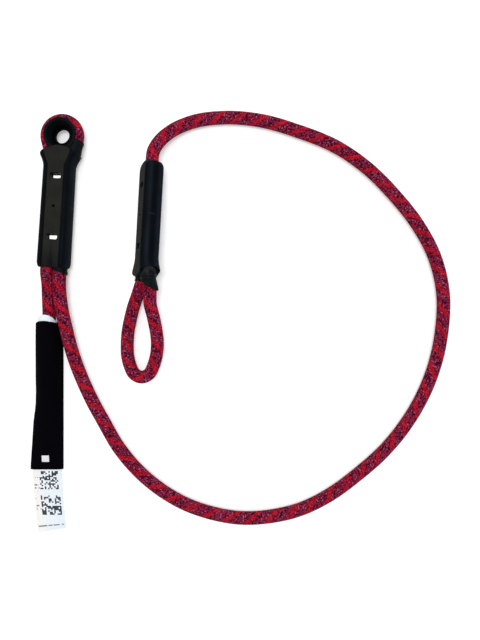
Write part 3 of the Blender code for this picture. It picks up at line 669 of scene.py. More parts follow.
def as_object(name, shape, place=None):
    """The bmesh shape, moved to its place, as an object in the scene."""
    bmesh.ops.recalc_face_normals(shape, faces=shape.faces)
    if place is not None:
        shape.transform(place)
    mesh = bpy.data.meshes.new(name)
    shape.to_mesh(mesh)
    shape.free()
    made = bpy.data.objects.new(name, mesh)
    bpy.context.scene.collection.objects.link(made)
    return made


def smoothed(thing, crease):
    """Shades the thing smooth, but for the edges that are sharper than crease degrees."""
    thing.data.shade_smooth()
    thing.data.set_sharp_from_angle(angle=math.radians(crease))


def add_piece(name, shape, finish, slot, *nodes, body="sling", place=None):
    """The shape as a piece that rides on a body and stands for its CAD nodes."""
    made = as_object(name, shape, place)
    made.data.materials.append(finish)
    smoothed(made, PIECE_CREASE)
    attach(made, body)
    if nodes:
        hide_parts(*nodes)
    return made


def bridge(shape, first, second):
    """Faces between two closed rings with as many points."""
    for corners in zip(first, first[1:] + first[:1], second[1:] + second[:1], second):
        shape.faces.new(corners)


def add_rows(shape, rows, along=None, once=1.0, closed=True, ends=False):
    """The rows' points as vertices, with faces between each row and the next, and at both ends if wanted.

    A closed row is a ring. Where along is given, the map's u goes from 0 to once on each row, and its v is
    the row's distance along.
    """
    layer = along and (shape.loops.layers.uv.get("Along") or shape.loops.layers.uv.new("Along"))
    made = [[shape.verts.new(point) for point in row] for row in rows]
    points = len(rows[0])
    count = points if closed else points - 1
    for j in range(len(rows) - 1):
        for k in range(count):
            corners = ((j, k), (j, k + 1), (j + 1, k + 1), (j + 1, k))
            face = shape.faces.new([made[m][n % points] for m, n in corners])
            if along:
                for loop, (m, n) in zip(face.loops, corners):
                    loop[layer].uv = (once * n / count, along[m])
    if ends:
        shape.faces.new(made[0])
        shape.faces.new(made[-1])
    return made


def open_tube(outer, inner, **mapping):
    """A tube that is open at both ends, with a rim between its outer and inner walls."""
    shape = bmesh.new()
    outside, inside = add_rows(shape, outer, **mapping), add_rows(shape, inner, **mapping)
    bridge(shape, outside[0], inside[0])
    bridge(shape, outside[-1], inside[-1])
    return shape


def slab(upper, lower, along=None):
    """A thin sheet between two grids of points."""
    shape, borders = bmesh.new(), []
    for rows in (upper, lower):
        grid = add_rows(shape, rows, along, closed=False)
        right, left = [row[-1] for row in grid[1:-1]], [row[0] for row in grid[-2:0:-1]]
        borders.append([*grid[0], *right, *grid[-1][::-1], *left])
    bridge(shape, *borders)
    return shape


def heading(points, k):
    """The unit direction at point k, as the circle through its neighbours has it."""
    if k in (0, len(points) - 1):
        k = max(k, 1)
        return (points[k] - points[k - 1]).normalized()
    before, after = points[k] - points[k - 1], points[k + 1] - points[k]
    return (before.normalized() * after.length + after.normalized() * before.length).normalized()


def distances(points):
    """How far along the line each point is."""
    return list(accumulate(((two - one).length for one, two in zip(points, points[1:])), initial=0.0))


def picked(points, places):
    """Points on the line at those distances along it, which rise."""
    travelled, found, k = distances(points), [], 0
    for wanted in places:
        while k < len(points) - 2 and travelled[k + 1] < wanted:
            k += 1
        found.append(points[k].lerp(points[k + 1], (wanted - travelled[k]) / (travelled[k + 1] - travelled[k])))
    return found


def evened(points, step):
    """The line through the points, divided into equal steps of about that length."""
    whole = distances(points)[-1]
    count = max(2, round(whole / step))
    return picked(points, [whole * n / count for n in range(count + 1)])


def from_plane(path, y):
    """The rest of the path, from where it first crosses the plane at y."""
    for k, (one, two) in enumerate(zip(path, path[1:])):
        if min(one.y, two.y) <= y <= max(one.y, two.y):
            return [one.lerp(two, (y - one.y) / (two.y - one.y)), *path[k + 1:]]
    raise ValueError(f"The path doesn't cross y = {y}")


def smooth_line(route):
    """Evenly spaced points on a smooth curve through the route's; its end stretches stay straight."""
    points = [Vector(point if len(point) == 3 else (*point, ROPE_R)) for point in route]
    fine = points[:2]
    for k in range(1, len(points) - 2):
        start, end = points[k], points[k + 1]
        third = (end - start).length / 3
        leave, arrive = start + heading(points, k) * third, end - heading(points, k + 1) * third
        fine += interpolate_bezier(start, leave, arrive, end, 33)[1:]
    return evened([*fine, points[-1]], ROPE_STEP)


def circles(points, radius, sides, carry=False):
    """A circle round each point, square to the path. The radius is a number or a function of k and angle.

    Each circle starts at its top, or where carry is true at the place that the one before it has.
    """
    rings, up = [], Vector((0, 0, 1))
    for k, point in enumerate(points):
        ahead = heading(points, k)
        top = (up - ahead * up.dot(ahead)).normalized()
        up = top if carry else up
        beside = ahead.cross(top)
        rings.append([point + (top * math.cos(a) + beside * math.sin(a))
                      * (radius(k, a) if callable(radius) else radius) for a in turns(sides)])
    return rings


def section_ring(width, depth, corner, y=0.0, inset=0.0):
    """Points round a rectangle with round corners, at y, all inset as far."""
    width, depth, corner = width - 2 * inset, depth - 2 * inset, corner - inset
    half_x, half_z = width / 2 - corner, depth / 2 - corner
    fourth = [(half_x * k / FACE_STEPS, depth / 2) for k in range(FACE_STEPS)]
    for k in range(CORNER_STEPS + 1):
        a = math.pi / 2 * (1 - k / CORNER_STEPS)
        fourth.append((half_x + corner * math.cos(a), half_z + corner * math.sin(a)))
    fourth += [(width / 2, half_z * (1 - k / SIDE_STEPS)) for k in range(1, SIDE_STEPS)]
    right = [*fourth, (width / 2, 0.0), *((x, -z) for x, z in reversed(fourth))]
    return [Vector((x, y, z)) for x, z in right + [(-x, z) for x, z in reversed(right[1:-1])]]


def add_box(shape, sides, y):
    bmesh.ops.create_cube(shape, size=1.0, matrix=Matrix.LocRotScale((0, y, 0), None, sides))


def apply_modifiers(thing):
    """The thing's mesh as its modifiers leave it."""
    evaluated = thing.evaluated_get(bpy.context.evaluated_depsgraph_get())
    mesh = bpy.data.meshes.new_from_object(evaluated)
    thing.modifiers.clear()
    thing.data = mesh


def cut(target, shape, place):
    """Takes the shape out of the target, for good."""
    cutter = as_object("cutter", shape, place)
    modifier = target.modifiers.new("cut", "BOOLEAN")
    modifier.operation, modifier.solver, modifier.object = "DIFFERENCE", "EXACT", cutter
    apply_modifiers(target)
    bpy.data.objects.remove(cutter, do_unlink=True)


# Rope


def thimble_eye_route():
    """The rope's way round the thimble: up one leg, over an arc and down the other leg."""
    legs, leans = [], []
    for side in (1, -1):
        leg = [Vector((LEG_SPREAD, SEWN_END + y, 0)) for y in (GAP, LEG_STRAIGHT)]
        reach = Vector((side * THIMBLE_PLACE.x, THIMBLE_PLACE.y, 0)) - leg[-1]
        leans.append(math.asin(EYE_R / reach.length) - math.atan2(-reach.x, reach.y))
        legs.append([Vector((side * p.x, p.y, 0)) for p in leg])
    arc = spaced(-leans[0], math.pi + leans[1], 25)
    around = [THIMBLE_PLACE + EYE_R * Vector((math.cos(a), math.sin(a), 0)) for a in arc]
    for leg, end in zip(legs, (around[0], around[-1])):
        leg.append(leg[-1].lerp(end, 0.5))
    return legs[0] + around + legs[1][::-1]


def rope_routes():
    """Each free stretch of the rope: its points, in order from where it leaves a cover."""
    def inside(end, *places):
        return [end.at @ Vector((*place, 0)) for place in places]

    def legs(side):
        return inside(THIMBLE, (side * LEG_SPREAD, sum(THIMBLE.nose)), (side * LEG_SPREAD, -LEG_STRAIGHT))

    return {
        "main_rope": [*legs(1), *MAIN_ROUTE, *inside(SOFT_EYE, (0, 0), (0, 0.0015), (0, sum(SOFT_EYE.nose)))],
        "tail_rope": [*legs(-1), *TAIL_ROUTE],
        "thimble_eye_rope": [THIMBLE.at @ p for p in thimble_eye_route()],
        "soft_eye_rope": [*inside(SOFT_EYE, *((-x, SEWN_END + y) for x, y in SOFT_EYE_LEG)), *SOFT_EYE_ROUTE,
                          *inside(SOFT_EYE, *((x, SEWN_END + y) for x, y in reversed(SOFT_EYE_LEG)))],
    }


def sheath(points):
    """A rope round the points, a little uneven as a braided sheath is."""
    def radius(k, a):
        lump = noise.noise(Vector((points[k].x * 90, points[k].y * 90, a)))
        return ROPE_R * (1.0 + 0.012 * lump)

    shape = bmesh.new()
    add_rows(shape, circles(points, radius, 40), distances(points), ends=True)
    return shape


class SLING_OT_ropes(bpy.types.Operator):
    """Lays the four free stretches of the rope"""
    bl_idname = "sling.ropes"
    bl_label = "Rope"

    def execute(self, context):
        finish = braided_sheath(context.scene.sling_sheath)
        for name, route in rope_routes().items():
            points = smooth_line(route)
            made = add_piece(name + "_sheath", sheath(points), finish, "rope", name)
        return {"FINISHED"}


# Sewn ends


def tack_slots():
    """A box through each pair of windows, wider than them by the gap all round."""
    shape = bmesh.new()
    for y in WINDOW_PLACES:
        add_box(shape, (WINDOW_WIDTH + 2 * GAP, WINDOW_HEIGHT + 2 * GAP, 2 * COVER_DEPTH), y)
    return shape


class SLING_OT_sewn_legs(bpy.types.Operator):
    """Presses the two rope legs together inside each cover, and gives them the black rubber finish as painted
    shade, so that the insides of the windows are dark
    """
    bl_idname = "sling.sewn_legs"
    bl_label = "Sewn legs"

    def execute(self, context):
        # The rope legs take the black rubber finish: painted shade for the dark inside of the windows.
        finish = bpy.data.materials["shrunk_rubber"]
        inset = COVER_WALL + GAP
        half_width, half_depth = COVER_WIDTH / 2 - inset, COVER_DEPTH / 2 - inset
        section = []
        for a in turns(32):
            flat = (abs(math.cos(a)) ** 3 + abs(math.sin(a)) ** 3) ** (-1 / 3)
            section.append((half_width / 2 + (half_width / 2 - GAP / 2) * flat * math.sin(a),
                            half_depth * flat * math.cos(a)))
        for end in ENDS:
            shape = bmesh.new()
            points = evened([Vector((0, sum(end.nose) + GAP, 0)), Vector((0, SEWN_END, 0))], LEG_STEP)
            for side in (-1, 1):
                rings = [[(side * x, p.y, z) for x, z in section] for p in points]
                add_rows(shape, rings, [p.y for p in points], ends=True)
            legs = add_piece(end.name + "_pressed_legs", shape, finish, "rope", end.name + "_sewn_legs",
                             place=end.at)
            cut(legs, tack_slots(), end.at)
        return {"FINISHED"}


class SLING_OT_bar_tacks(bpy.types.Operator):
    """Sews the white bar tacks that show in the covers' windows"""
    bl_idname = "sling.bar_tacks"
    bl_label = "Bar tacks"

    def execute(self, context):
        look = context.scene.sling_thread
        finish = sewing_thread(look)
        for end in ENDS:
            for name, y in zip(("lower", "upper"), end.tacks):
                add_piece(f"{end.name}_bar_tack_{name}", bar_tack(y, look.thickness), finish, "thread",
                          f"{end.name}_tack_{name}", place=end.at)
        return {"FINISHED"}


def bar_tack(y, thickness):
    """Thread sewn to and fro over a flat core, on both faces."""
    shape = bmesh.new()
    add_box(shape, (TACK_WIDTH - thickness, TACK_CORE * TACK_HEIGHT - thickness, TACK_THICKNESS - thickness), y)
    r = thickness / 2
    stitches = int((TACK_WIDTH - thickness) / (0.92 * thickness))
    for z in (r - TACK_THICKNESS / 2, TACK_THICKNESS / 2 - r):
        line = []
        for k, x in enumerate(spaced(r - TACK_WIDTH / 2, TACK_WIDTH / 2 - r, stitches + 1)):
            reach = (TACK_HEIGHT / 2 - r) * (0.82 + 0.10 * math.sin(2.7 * k)) * (1 if k % 2 else -1)
            line += [Vector((x, y - reach, z)), Vector((x, y + reach, z))]
        line = evened(line, THREAD_STEP)
        add_rows(shape, circles(line, r, 8), distances(line), ends=True)
    return shape


# Moulded covers


def nose_rings(end, inset, lip):
    """Rings over the cover's round plain end, from its bore to the full section."""
    start, length = end.nose
    bore_width = 2 * (BORE_R + (end.legs - 1) * LEG_SPREAD)
    rings = []
    for a in quarter(8):
        share = math.sin(a)
        width = blend(bore_width + 2 * lip, PLAIN_END_WIDTH - 2 * inset, share)
        depth = blend(2 * (BORE_R + lip), COVER_DEPTH - 2 * inset, share)
        corner = blend(BORE_CORNER + lip, COVER_CORNER - inset, share)
        rings.append(section_ring(width, depth, corner, start + length * (1 - math.cos(a))))
    return rings


def mouth_ring(share, inset, back=0.0):
    """A ring in the cover's flare, share of the way from its start to the arched rim."""
    ring = []
    for k in range(SECTION_POINTS):
        turn = (1 - math.cos(4 * math.pi * k / SECTION_POINTS)) / 2
        arch, power = ARCHES[k < SECTION_POINTS / 2]
        y = blend(FLARE_START, COVER_LENGTH - arch * turn ** power, share) - back
        opened = held((y - FLARE_START) / (FLARE_END - FLARE_START)) ** FLARE_POWER
        width, depth = blend(COVER_WIDTH, LIP_WIDTH, opened), blend(COVER_DEPTH, LIP_DEPTH, opened)
        ring.append(section_ring(width, depth, COVER_CORNER, y, inset)[k])
    return ring


def grooved(ring):
    """The ring with a shallow groove in the middle of both faces, which fades out along the cover."""
    width, depth, reach = LEG_GROOVE
    return [p - Vector((0, 0, math.copysign(
        depth * held(1 - abs(2 * p.x / width)) * held(1 - p.y / reach), p.z))) for p in ring]


def cover_shell(end, edge):
    """One wall thick all over: round nose, plain barrel, and a flared mouth with arches and tongues."""
    walls, start = [], sum(end.nose)
    for inset, lip in ((0.0, NOSE_EDGE), (COVER_WALL, 0.0)):
        rings = nose_rings(end, inset, lip)
        for p in evened([Vector((0, start, 0)), Vector((0, FLARE_START, 0))], COVER_STEP)[1:-1]:
            width = blend(PLAIN_END_WIDTH, COVER_WIDTH, (p.y - start) / (FLARE_START - start))
            rings.append(section_ring(width, COVER_DEPTH, COVER_CORNER, p.y, inset))
        if end.legs == 2 and inset == 0.0:
            rings = [grooved(ring) for ring in rings]
        rings += [mouth_ring(k / MOUTH_RINGS, inset) for k in range(MOUTH_RINGS)]
        for a in quarter(3):
            drawn = edge * (1 - math.cos(a))
            rings.append(mouth_ring(1.0, inset - drawn if inset else drawn, edge * (1 - math.sin(a))))
        walls.append(rings)
    return open_tube(*walls)


def window_cutters():
    """The two windows with round corners, and the pin hole between them."""
    shape = bmesh.new()
    corner = WINDOW_HEIGHT * 0.3
    half_x, half_y = WINDOW_WIDTH / 2 - corner, WINDOW_HEIGHT / 2 - corner
    for y in WINDOW_PLACES:
        outline = []
        for n, (sx, sy) in enumerate(((1, 1), (-1, 1), (-1, -1), (1, -1))):
            for k in range(7):
                a = math.pi / 2 * (n + k / 6)
                outline.append((sx * half_x + corner * math.cos(a), y + sy * half_y + corner * math.sin(a)))
        add_rows(shape, [[(x, v, z) for x, v in outline] for z in (-COVER_DEPTH, COVER_DEPTH)], ends=True)
    bmesh.ops.create_cone(shape, cap_ends=True, segments=24, radius1=PIN_HOLE_D / 2, radius2=PIN_HOLE_D / 2,
                          depth=2 * COVER_DEPTH, matrix=Matrix.Translation((0, COVER_LENGTH / 2, 0)))
    return shape


class SLING_OT_covers(bpy.types.Operator):
    """Moulds the two covers over the sewn ends"""
    bl_idname = "sling.covers"
    bl_label = "Moulded covers"

    def execute(self, context):
        look = context.scene.sling_cover
        for end in ENDS:
            cover = add_piece(end.name + "_moulding", cover_shell(end, look.edge), moulded_plastic(look, end),
                              "cover_plastic", end.name + "_cover", place=end.at)
            cut(cover, window_cutters(), end.at)
            soften = cover.modifiers.new("edges", "BEVEL")
            soften.width, soften.segments, soften.limit_method = look.edge, 2, "ANGLE"
            soften.angle_limit = math.radians(COVER_CREASE)
            apply_modifiers(cover)
            smoothed(cover, COVER_CREASE)
        return {"FINISHED"}


# Thimble and tubes


def funnel(height, steps):
    """The bore's curve from the waist out to the mouth as points (r, height over the waist)."""
    rise = THIMBLE_MOUTH_D / 2 - THIMBLE_EDGE - THIMBLE_BORE / 2
    round_r = (rise ** 2 + height ** 2) / (2 * rise)
    heights = [height * k / steps for k in range(steps + 1)]
    return [(THIMBLE_BORE / 2 + round_r - math.sqrt(round_r ** 2 - h ** 2), h) for h in heights]


def thimble_section():
    """The thimble's closed section as points (r, z), up the hourglass bore and down the groove."""
    face, mouth, flange = THIMBLE_WIDTH / 2, THIMBLE_MOUTH_D / 2, THIMBLE_FLANGE_D / 2
    run = face - THIMBLE_EDGE
    upper = [(r, h - THIMBLE_WAIST_DROP) for r, h in funnel(run + THIMBLE_WAIST_DROP, 16)]
    lower = [(r, -h - THIMBLE_WAIST_DROP) for r, h in funnel(run - THIMBLE_WAIST_DROP, 12)]
    outside = [
        (mouth - THIMBLE_EDGE * 0.6, face - THIMBLE_EDGE * 0.3), (mouth, face),
        *((flange - THIMBLE_EDGE * (1 - math.sin(a)), face - THIMBLE_EDGE * (1 - math.cos(a))) for a in quarter(4)),
        (flange, BORE_R + 0.0005),
        *((EYE_R - BORE_R * math.sin(a), BORE_R * math.cos(a)) for a in quarter(12)),
    ]
    return upper + outside + [(r, -z) for r, z in reversed(outside[:-1])] + lower[:0:-1]


class SLING_OT_thimble(bpy.types.Operator):
    """Turns the thimble of the upper eye"""
    bl_idname = "sling.thimble"
    bl_label = "Thimble"

    def execute(self, context):
        centre = THIMBLE.at @ Matrix.Translation(THIMBLE_PLACE)
        shape, section = bmesh.new(), thimble_section()
        turned = [[shape.verts.new((r * math.cos(a), r * math.sin(a), z)) for r, z in section]
                  for a in turns(THIMBLE_SIDES)]
        for first, second in zip(turned, turned[1:] + turned[:1]):
            bridge(shape, first, second)
        add_piece("thimble_grommet", shape, turned_plastic(context.scene.sling_thimble, centre),
                  "thimble_plastic", "thimble", place=centre)
        return {"FINISHED"}


def leg_tube(path, y, length, wrinkle, slant=0.0, long_side=(1, 0, 0), flare=0.0, skirt=0.0):
    """A thin shrunk tube round a leg from the plane y on, cut askew: shorter by the slant on one side.

    Its end stands off the rope by the flare, and its foot by the skirt on the side of x.
    """
    last = TUBE_RINGS - 1
    points = picked(from_plane(path, y), [length * n / last for n in range(TUBE_RINGS)])

    def crumpled(k, a):
        fold = noise.noise(Vector((points[k].x * 250, points[k].y * 900, a * 1.4)))
        outer_side = max(0.0, math.sin(a)) * skirt * (1 - k / last) ** 1.5
        return BORE_R + TUBE_WALL + wrinkle * fold * (1 + 2 * k / last) + flare * (k / last) ** 2 + outer_side

    walls = [circles(points, radius, 48, carry=True) for radius in (crumpled, BORE_R - GAP / 2)]
    cut_off = []
    for p in walls[0][-1]:
        outward = (p - points[-1]).normalized()
        frayed = 0.06 * noise.noise(outward * 3.0)
        cut_off.append(min(0.9, max(0.0, slant / length * (1 - outward.dot(Vector(long_side))) / 2 + frayed)))
    outer, inner = (shortened(wall, cut_off) for wall in walls)
    outer.append([p.lerp(q, 0.45) + heading(points, last) * 0.00015 for p, q in zip(outer[-1], inner[-1])])
    return open_tube(outer, inner)


def shortened(rings, cut_off):
    """A tube's rings drawn together, so that each line of points along it loses its share in cut_off."""
    drawn = []
    for k in range(len(rings)):
        ring = []
        for n, share in enumerate(cut_off):
            place = k * (1 - share)
            whole = min(len(rings) - 2, int(place))
            ring.append(rings[whole][n].lerp(rings[whole + 1][n], place - whole))
        drawn.append(ring)
    return drawn


def crotch_band(path, end, wrinkle):
    """The shrunk tube's mouth, which wraps both legs just inside the side arches."""
    outer, inner = [], []
    for k, y in enumerate(spaced(BAND_START, end, 9)):
        one, two = from_plane(path, y)[0], from_plane(path[::-1], y)[0]
        middle = (one + two) / 2
        width, depth = abs(one.x - two.x) + 2 * BAND_EASE * BORE_R, abs(one.z - two.z) + 2 * BORE_R
        wall = TUBE_WALL + BAND_FOLD * (1.5 if k == 7 else 1.0)
        ring = []
        for p in section_ring(width, depth, BORE_CORNER, inset=-wall):
            fold = noise.noise(Vector((p.x * 500, y * 900, p.z * 500)))
            ring.append(p + p.normalized() * wrinkle * fold + middle)
        outer.append(ring)
        inner.append([p + middle for p in section_ring(width, depth, BORE_CORNER)])
    return open_tube(outer, inner)


def thimble_room():
    """The space that the thimble's flanges need."""
    shape = bmesh.new()
    reach = THIMBLE_FLANGE_D / 2 + GAP
    bmesh.ops.create_cone(shape, cap_ends=True, segments=THIMBLE_SIDES, radius1=reach, radius2=reach,
                          depth=COVER_WIDTH, matrix=Matrix.Translation(THIMBLE_PLACE))
    return shape


class SLING_OT_tubes(bpy.types.Operator):
    """Shrinks the black tube ends on to the rope legs"""
    bl_idname = "sling.tubes"
    bl_label = "Shrunk tubes"

    def execute(self, context):
        look = context.scene.sling_tube
        # The band takes the dust in full, partly as painted highlights on its wrinkles; the tubes take little, so
        # they are darker below the band as painted shade.
        finish, gathered = shrunk_rubber(look, "shrunk_rubber", 0.15), shrunk_rubber(look, "gathered_rubber", 1.0)
        routes = rope_routes()

        def local(rope, end):
            return [end.at.inverted() @ p for p in smooth_line(routes[rope])]

        paths = [local(end.eye, end) for end in ENDS]
        upper, lower = paths
        right = SOFT_EYE.at.to_3x3().transposed() @ Vector((1, 0, 0))
        foot = SOFT_EYE.band_end - UNDER_BAND
        tubes = (
            ("thimble_leg_tube", THIMBLE, upper, THIMBLE.band_end, THIMBLE_TUBE_LENGTH, {"skirt": TUBE_SKIRT}),
            ("soft_eye_leg_tube", SOFT_EYE, lower, foot, SOFT_EYE_TUBE_LENGTH + UNDER_BAND,
             {"slant": SOFT_EYE_TUBE_SLANT, "long_side": right, "flare": 0.0010}),
            ("soft_eye_lower_tube", SOFT_EYE, lower[::-1], foot, LOWER_TUBE_LENGTH + UNDER_BAND,
             {"slant": LOWER_TUBE_SLANT, "long_side": -right}),
            ("main_leg_collar", THIMBLE, local("main_rope", THIMBLE), 0.0, COLLAR_LENGTH,
             {"slant": COLLAR_SLANT, "flare": 0.0003}),
        )
        for node, end, path, y, length, form in tubes:
            shape = leg_tube(path, y, length, look.wrinkle, **form)
            made = add_piece(node + "_skin", shape, finish, "shrink_tube", node, place=end.at)
            if node == "thimble_leg_tube":
                cut(made, thimble_room(), end.at)
        for end, path in zip(ENDS, paths):
            add_piece(end.name + "_crotch_skin", crotch_band(path, end.band_end, look.wrinkle), gathered,
                      "shrink_tube", end.name + "_crotch_band", place=end.at)
        return {"FINISHED"}


# Label and sleeve


def table_slope(rows, k, n):
    """Slope of column n at row k; none where the column turns back or stands still."""
    steps = [(rows[j + 1][n] - rows[j][n]) / (rows[j + 1][0] - rows[j][0])
             for j in (k - 1, k) if 0 <= j < len(rows) - 1]
    return 0.0 if min(steps) * max(steps) <= 0 else min(steps, key=abs)


def at_station(stations, y):
    """The other columns of the stations at y, on smooth curves through them."""
    rows = sorted(stations)
    k = max(0, min(len(rows) - 2, sum(row[0] <= y for row in rows) - 1))
    span = rows[k + 1][0] - rows[k][0]
    t = held((y - rows[k][0]) / span)
    values = []
    for n in range(1, len(rows[0])):
        start, end = table_slope(rows, k, n) * span, table_slope(rows, k + 1, n) * span
        values.append(rows[k][n] * (1 + 2 * t) * (1 - t) ** 2 + start * t * (1 - t) ** 2
                      + rows[k + 1][n] * t * t * (3 - 2 * t) - end * t * t * (1 - t))
    return values


def label_row(y, offset):
    """Points across one face of the label at y, rolled by the station's half angle.

    The top is an arch, its edges drawn back, and the lower end is cut askew.
    """
    centre, angle, edge_height = at_station(LABEL_STATIONS, y)
    half = math.radians(angle)
    radius = LABEL_WIDTH / (2 * half)
    skew = faded(LABEL_SKEW, y - LABEL_STATIONS[-1][0])
    arch = faded(LABEL_ARCH, LABEL_STATIONS[0][0] - y)
    row = []
    for k, a in enumerate(spaced(-half, half, 25)):
        x = centre + (radius + offset) * math.sin(a)
        z = edge_height - radius * math.cos(half) + (radius + offset) * math.cos(a)
        wave = 0.00022 * math.sin(95 * y + 1.3) * math.sin(math.pi * k / 24) if y < -0.13 else 0.0
        row.append(Vector((x, y + skew * (x - centre) / LABEL_WIDTH - arch * (1 - math.cos(a)), z + wave)))
    return row


class SLING_OT_label(bpy.types.Operator):
    """Prints the identification label and rolls its top round the tail"""
    bl_idname = "sling.label"
    bl_label = "Label"

    def execute(self, context):
        top, bottom = LABEL_STATIONS[0][0], LABEL_STATIONS[-1][0]
        length, places = top - bottom, spaced(top, bottom, 76)
        faces = [[label_row(y, side * LABEL_THICKNESS / 2) for y in places] for side in (1, -1)]
        shape = slab(*faces, [y - bottom for y in places])
        made = add_piece("label_tape", shape, printed_tape(context.scene.sling_label), "label", "id_label")
        return {"FINISHED"}


def sleeve_section(y):
    """The sleeve's outline at y as points (x, z): flat below, thin edges and a bulge over the tail."""
    left, right, crest, height = at_station(SLEEVE_STATIONS, y)
    r = SLEEVE_EDGE / 2
    left, right = left + r, right - r

    def edge(x, start):
        angles = [math.pi * (k / 6 + start) for k in range(1, 6)]
        return [(x + r * math.cos(a), r + r * math.sin(a)) for a in angles]

    points = [(x, 0.0) for x in spaced(left, right, 13)] + edge(right, -0.5)
    for x in spaced(right, left, 47):
        side = right - crest if x > crest else crest - left
        bulge = max(0.0, math.cos(math.pi / 2 * min(1.0, abs(x - crest) / side)))
        points.append((x, blend(SLEEVE_EDGE, height, bulge ** SLEEVE_BULGE_POWER)))
    return points + edge(left, 0.5)


def inset_outline(points, wall):
    """The outline moved inwards by the wall, point by point; the points run anticlockwise."""
    points = [Vector(point) for point in points]
    moved = []
    for before, here, after in zip(points[-1:] + points[:-1], points, points[1:] + points[:1]):
        ahead = (after - here).normalized()
        tangent = ((here - before).normalized() + ahead).normalized()
        moved.append(here + Vector((-tangent.y, tangent.x)) * wall / max(0.5, tangent.dot(ahead)))
    return moved


def arched(outline, y):
    """The outline as points, pushed up over the tail at the sleeve's top and drawn back at its edges."""
    top, left, right, crest, _ = SLEEVE_STATIONS[0]
    rise, fall = faded(SLEEVE_ARCH, top - y), faded(SLEEVE_ARCH[1:], top - y)
    moved = []
    for x, z in outline:
        side = right - crest if x > crest else crest - left
        moved.append(Vector((x, y + rise - fall * min(1.0, abs(x - crest) / side) ** 2, z)))
    return moved


def ruffled(outline, y):
    """The outline with shallow folds and a ribbed hem, none where it lies on the floor."""
    below = SLEEVE_STATIONS[0][0] - y
    hem = faded(SLEEVE_HEM, below) * math.sin(2 * math.pi * below / SLEEVE_HEM[1]) - 0.0002
    points = []
    for x, z in outline:
        fold = 0.0005 * noise.noise(Vector((x * 110, y * 38, 3.0)))
        gather = faded(SLEEVE_GATHERS, below) * math.sin(2 * math.pi * x / SLEEVE_GATHERS[1])
        points.append((x, z + held((z - 0.0006) / 0.0012) * (fold + gather + hem)))
    return points


class SLING_OT_sleeve(bpy.types.Operator):
    """Knits the fabric sleeve that slides over the label"""
    bl_idname = "sling.sleeve"
    bl_label = "Sleeve"

    def execute(self, context):
        look = context.scene.sling_sleeve
        top, bottom = SLEEVE_STATIONS[0][0], SLEEVE_STATIONS[-1][0]
        length, places = top - bottom, spaced(top, bottom, 129)
        outer = [arched(ruffled(sleeve_section(y), y), y) for y in places]
        inner = [arched(inset_outline(sleeve_section(y), SLEEVE_WALL), y) for y in places]
        girth = distances([Vector(point) for point in sleeve_section(0.0)])[-1]
        shape = open_tube(outer, inner, along=[-y for y in places], once=girth)
        made = add_piece("knitted_sleeve", shape, knitted_fabric(look), "sleeve_fabric", "label_sleeve",
                         body="sleeve")
        sleeve_patch(made, look)
        return {"FINISHED"}


def sleeve_patch(sleeve, look):
    """A plain patch sewn on near the sleeve's lower end."""
    left, right, bottom, top = PATCH
    rows = []
    for y in spaced(bottom, top, 9):
        row = [sleeve.ray_cast(Vector((x, y, 0.05)), Vector((0, 0, -1))) for x in spaced(left, right, 9)]
        if not all(found for found, *_ in row):
            raise RuntimeError("The patch misses the sleeve")
        rows.append([point for _, point, *_ in row])
    faces = [[[point + Vector((0, 0, lift)) for point in row] for row in rows]
             for lift in (0.00002, PATCH_THICKNESS)]
    add_piece("sleeve_patch", slab(*faces), woven_patch(look), "label", body="sleeve")


# Stage


def where_seen(nodes, always, to_camera, mirrored):
    """A strength that is higher where the camera sees it directly, mirrored or through something."""
    rays = nodes.tree.nodes.new("ShaderNodeLightPath").outputs
    total = always
    for ray, more in (("Camera", to_camera), ("Glossy", mirrored), ("Transmission", mirrored)):
        total = Value(nodes, rays[f"Is {ray} Ray"]).sum("MULTIPLY_ADD", more, total)
    return total


def floor_paint(look):
    """Pale paint that looks white where nothing shades it."""
    finish = Finish("floor_paint", Roughness=0.9, Specular_IOR_Level=0.1, Emission_Color=WHITE)
    finish.give(Emission_Strength=where_seen(finish, 0.0, 0.32, 0.04))
    mottle = finish.clouds(finish.place(), 6.0)
    return finish.surface(mottle.span(0.3, 0.7, 0.0, 0.03).between(look.floor, WHITE[:3]))


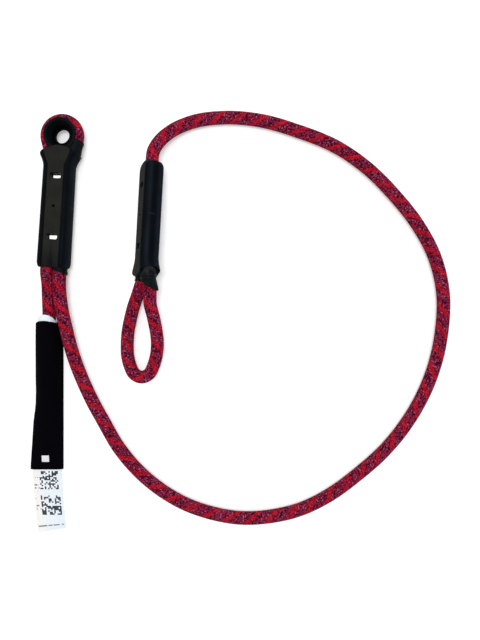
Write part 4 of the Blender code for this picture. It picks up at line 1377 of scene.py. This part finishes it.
class SLING_OT_stage(bpy.types.Operator):
    """Lays the pale floor, and sets the soft light and the camera"""
    bl_idname = "sling.stage"
    bl_label = "Stage"

    def execute(self, context):
        scene, look = context.scene, context.scene.sling_stage
        camera = bpy.data.objects.new("camera", bpy.data.cameras.new("camera"))
        camera.data.lens, camera.data.sensor_width = look.lens, 36.0
        camera.location = (*CAMERA_OVER, look.camera_height)
        scene.collection.objects.link(camera)
        scene.camera = camera

        for name, place, across, share, tint in LAMPS:
            lamp = bpy.data.lights.new(name, "AREA")
            lamp.shape, lamp.size, lamp.energy, lamp.color = "DISK", across, look.lamp * share, tint
            holder = bpy.data.objects.new(name, lamp)
            holder.location, holder.rotation_mode = place, "QUATERNION"
            holder.rotation_quaternion = (-Vector(place)).to_track_quat("-Z", "Y")
            scene.collection.objects.link(holder)

        scene.world = bpy.data.worlds.new("sky")
        scene.world.use_nodes = True
        sky = Nodes(scene.world.node_tree)
        background = sky.tree.nodes["Background"]
        sky.feed(background.inputs["Color"], WHITE)
        sky.feed(background.inputs["Strength"], where_seen(sky, look.sky, 1 - look.sky, 1 - look.sky))

        shape, places = bmesh.new(), spaced(-3.0, 3.0, 25)
        add_rows(shape, [[(x, y, FLOOR_Z) for x in places] for y in places], closed=False)
        floor = as_object("floor", shape)
        floor.data.materials.append(floor_paint(look))
        scene.view_settings.view_transform = "Standard"
        return {"FINISHED"}


class SLING_PT_pieces(bpy.types.Panel):
    """Lists the sling's pieces and their looks"""
    bl_label = "Rope tie-off sling"
    bl_idname = "SLING_PT_pieces"
    bl_space_type = "VIEW_3D"
    bl_region_type = "UI"
    bl_category = "Sling"

    def draw(self, context):
        for operator, look in STEPS:
            box = self.layout.box()
            box.operator(operator.bl_idname)
            if look:
                group = getattr(context.scene, look)
                for value in LOOKS[look].__annotations__:
                    box.prop(group, value)


LOOKS = {
    "sling_sheath": SheathLook, "sling_cover": CoverLook, "sling_thimble": ThimbleLook,
    "sling_tube": TubeLook, "sling_thread": ThreadLook, "sling_label": LabelLook,
    "sling_sleeve": SleeveLook, "sling_stage": StageLook,
}
# The operators in order, each with the look that it reads
STEPS = (
    (SLING_OT_stage, "sling_stage"), (SLING_OT_ropes, "sling_sheath"), (SLING_OT_tubes, "sling_tube"),
    (SLING_OT_sewn_legs, None), (SLING_OT_bar_tacks, "sling_thread"), (SLING_OT_covers, "sling_cover"),
    (SLING_OT_thimble, "sling_thimble"), (SLING_OT_label, "sling_label"), (SLING_OT_sleeve, "sling_sleeve"),
)
CLASSES = (*LOOKS.values(), *(operator for operator, _ in STEPS), SLING_PT_pieces)


def register():
    for listed in CLASSES:
        bpy.utils.register_class(listed)
    for name, group in LOOKS.items():
        setattr(bpy.types.Scene, name, bpy.props.PointerProperty(type=group))


def unregister():
    for name in LOOKS:
        delattr(bpy.types.Scene, name)
    for listed in reversed(CLASSES):
        bpy.utils.unregister_class(listed)


def main():
    register()
    for operator, _ in STEPS:
        getattr(bpy.ops.sling, operator.bl_idname.split(".")[1])()


if __name__ == "__main__":
    main()
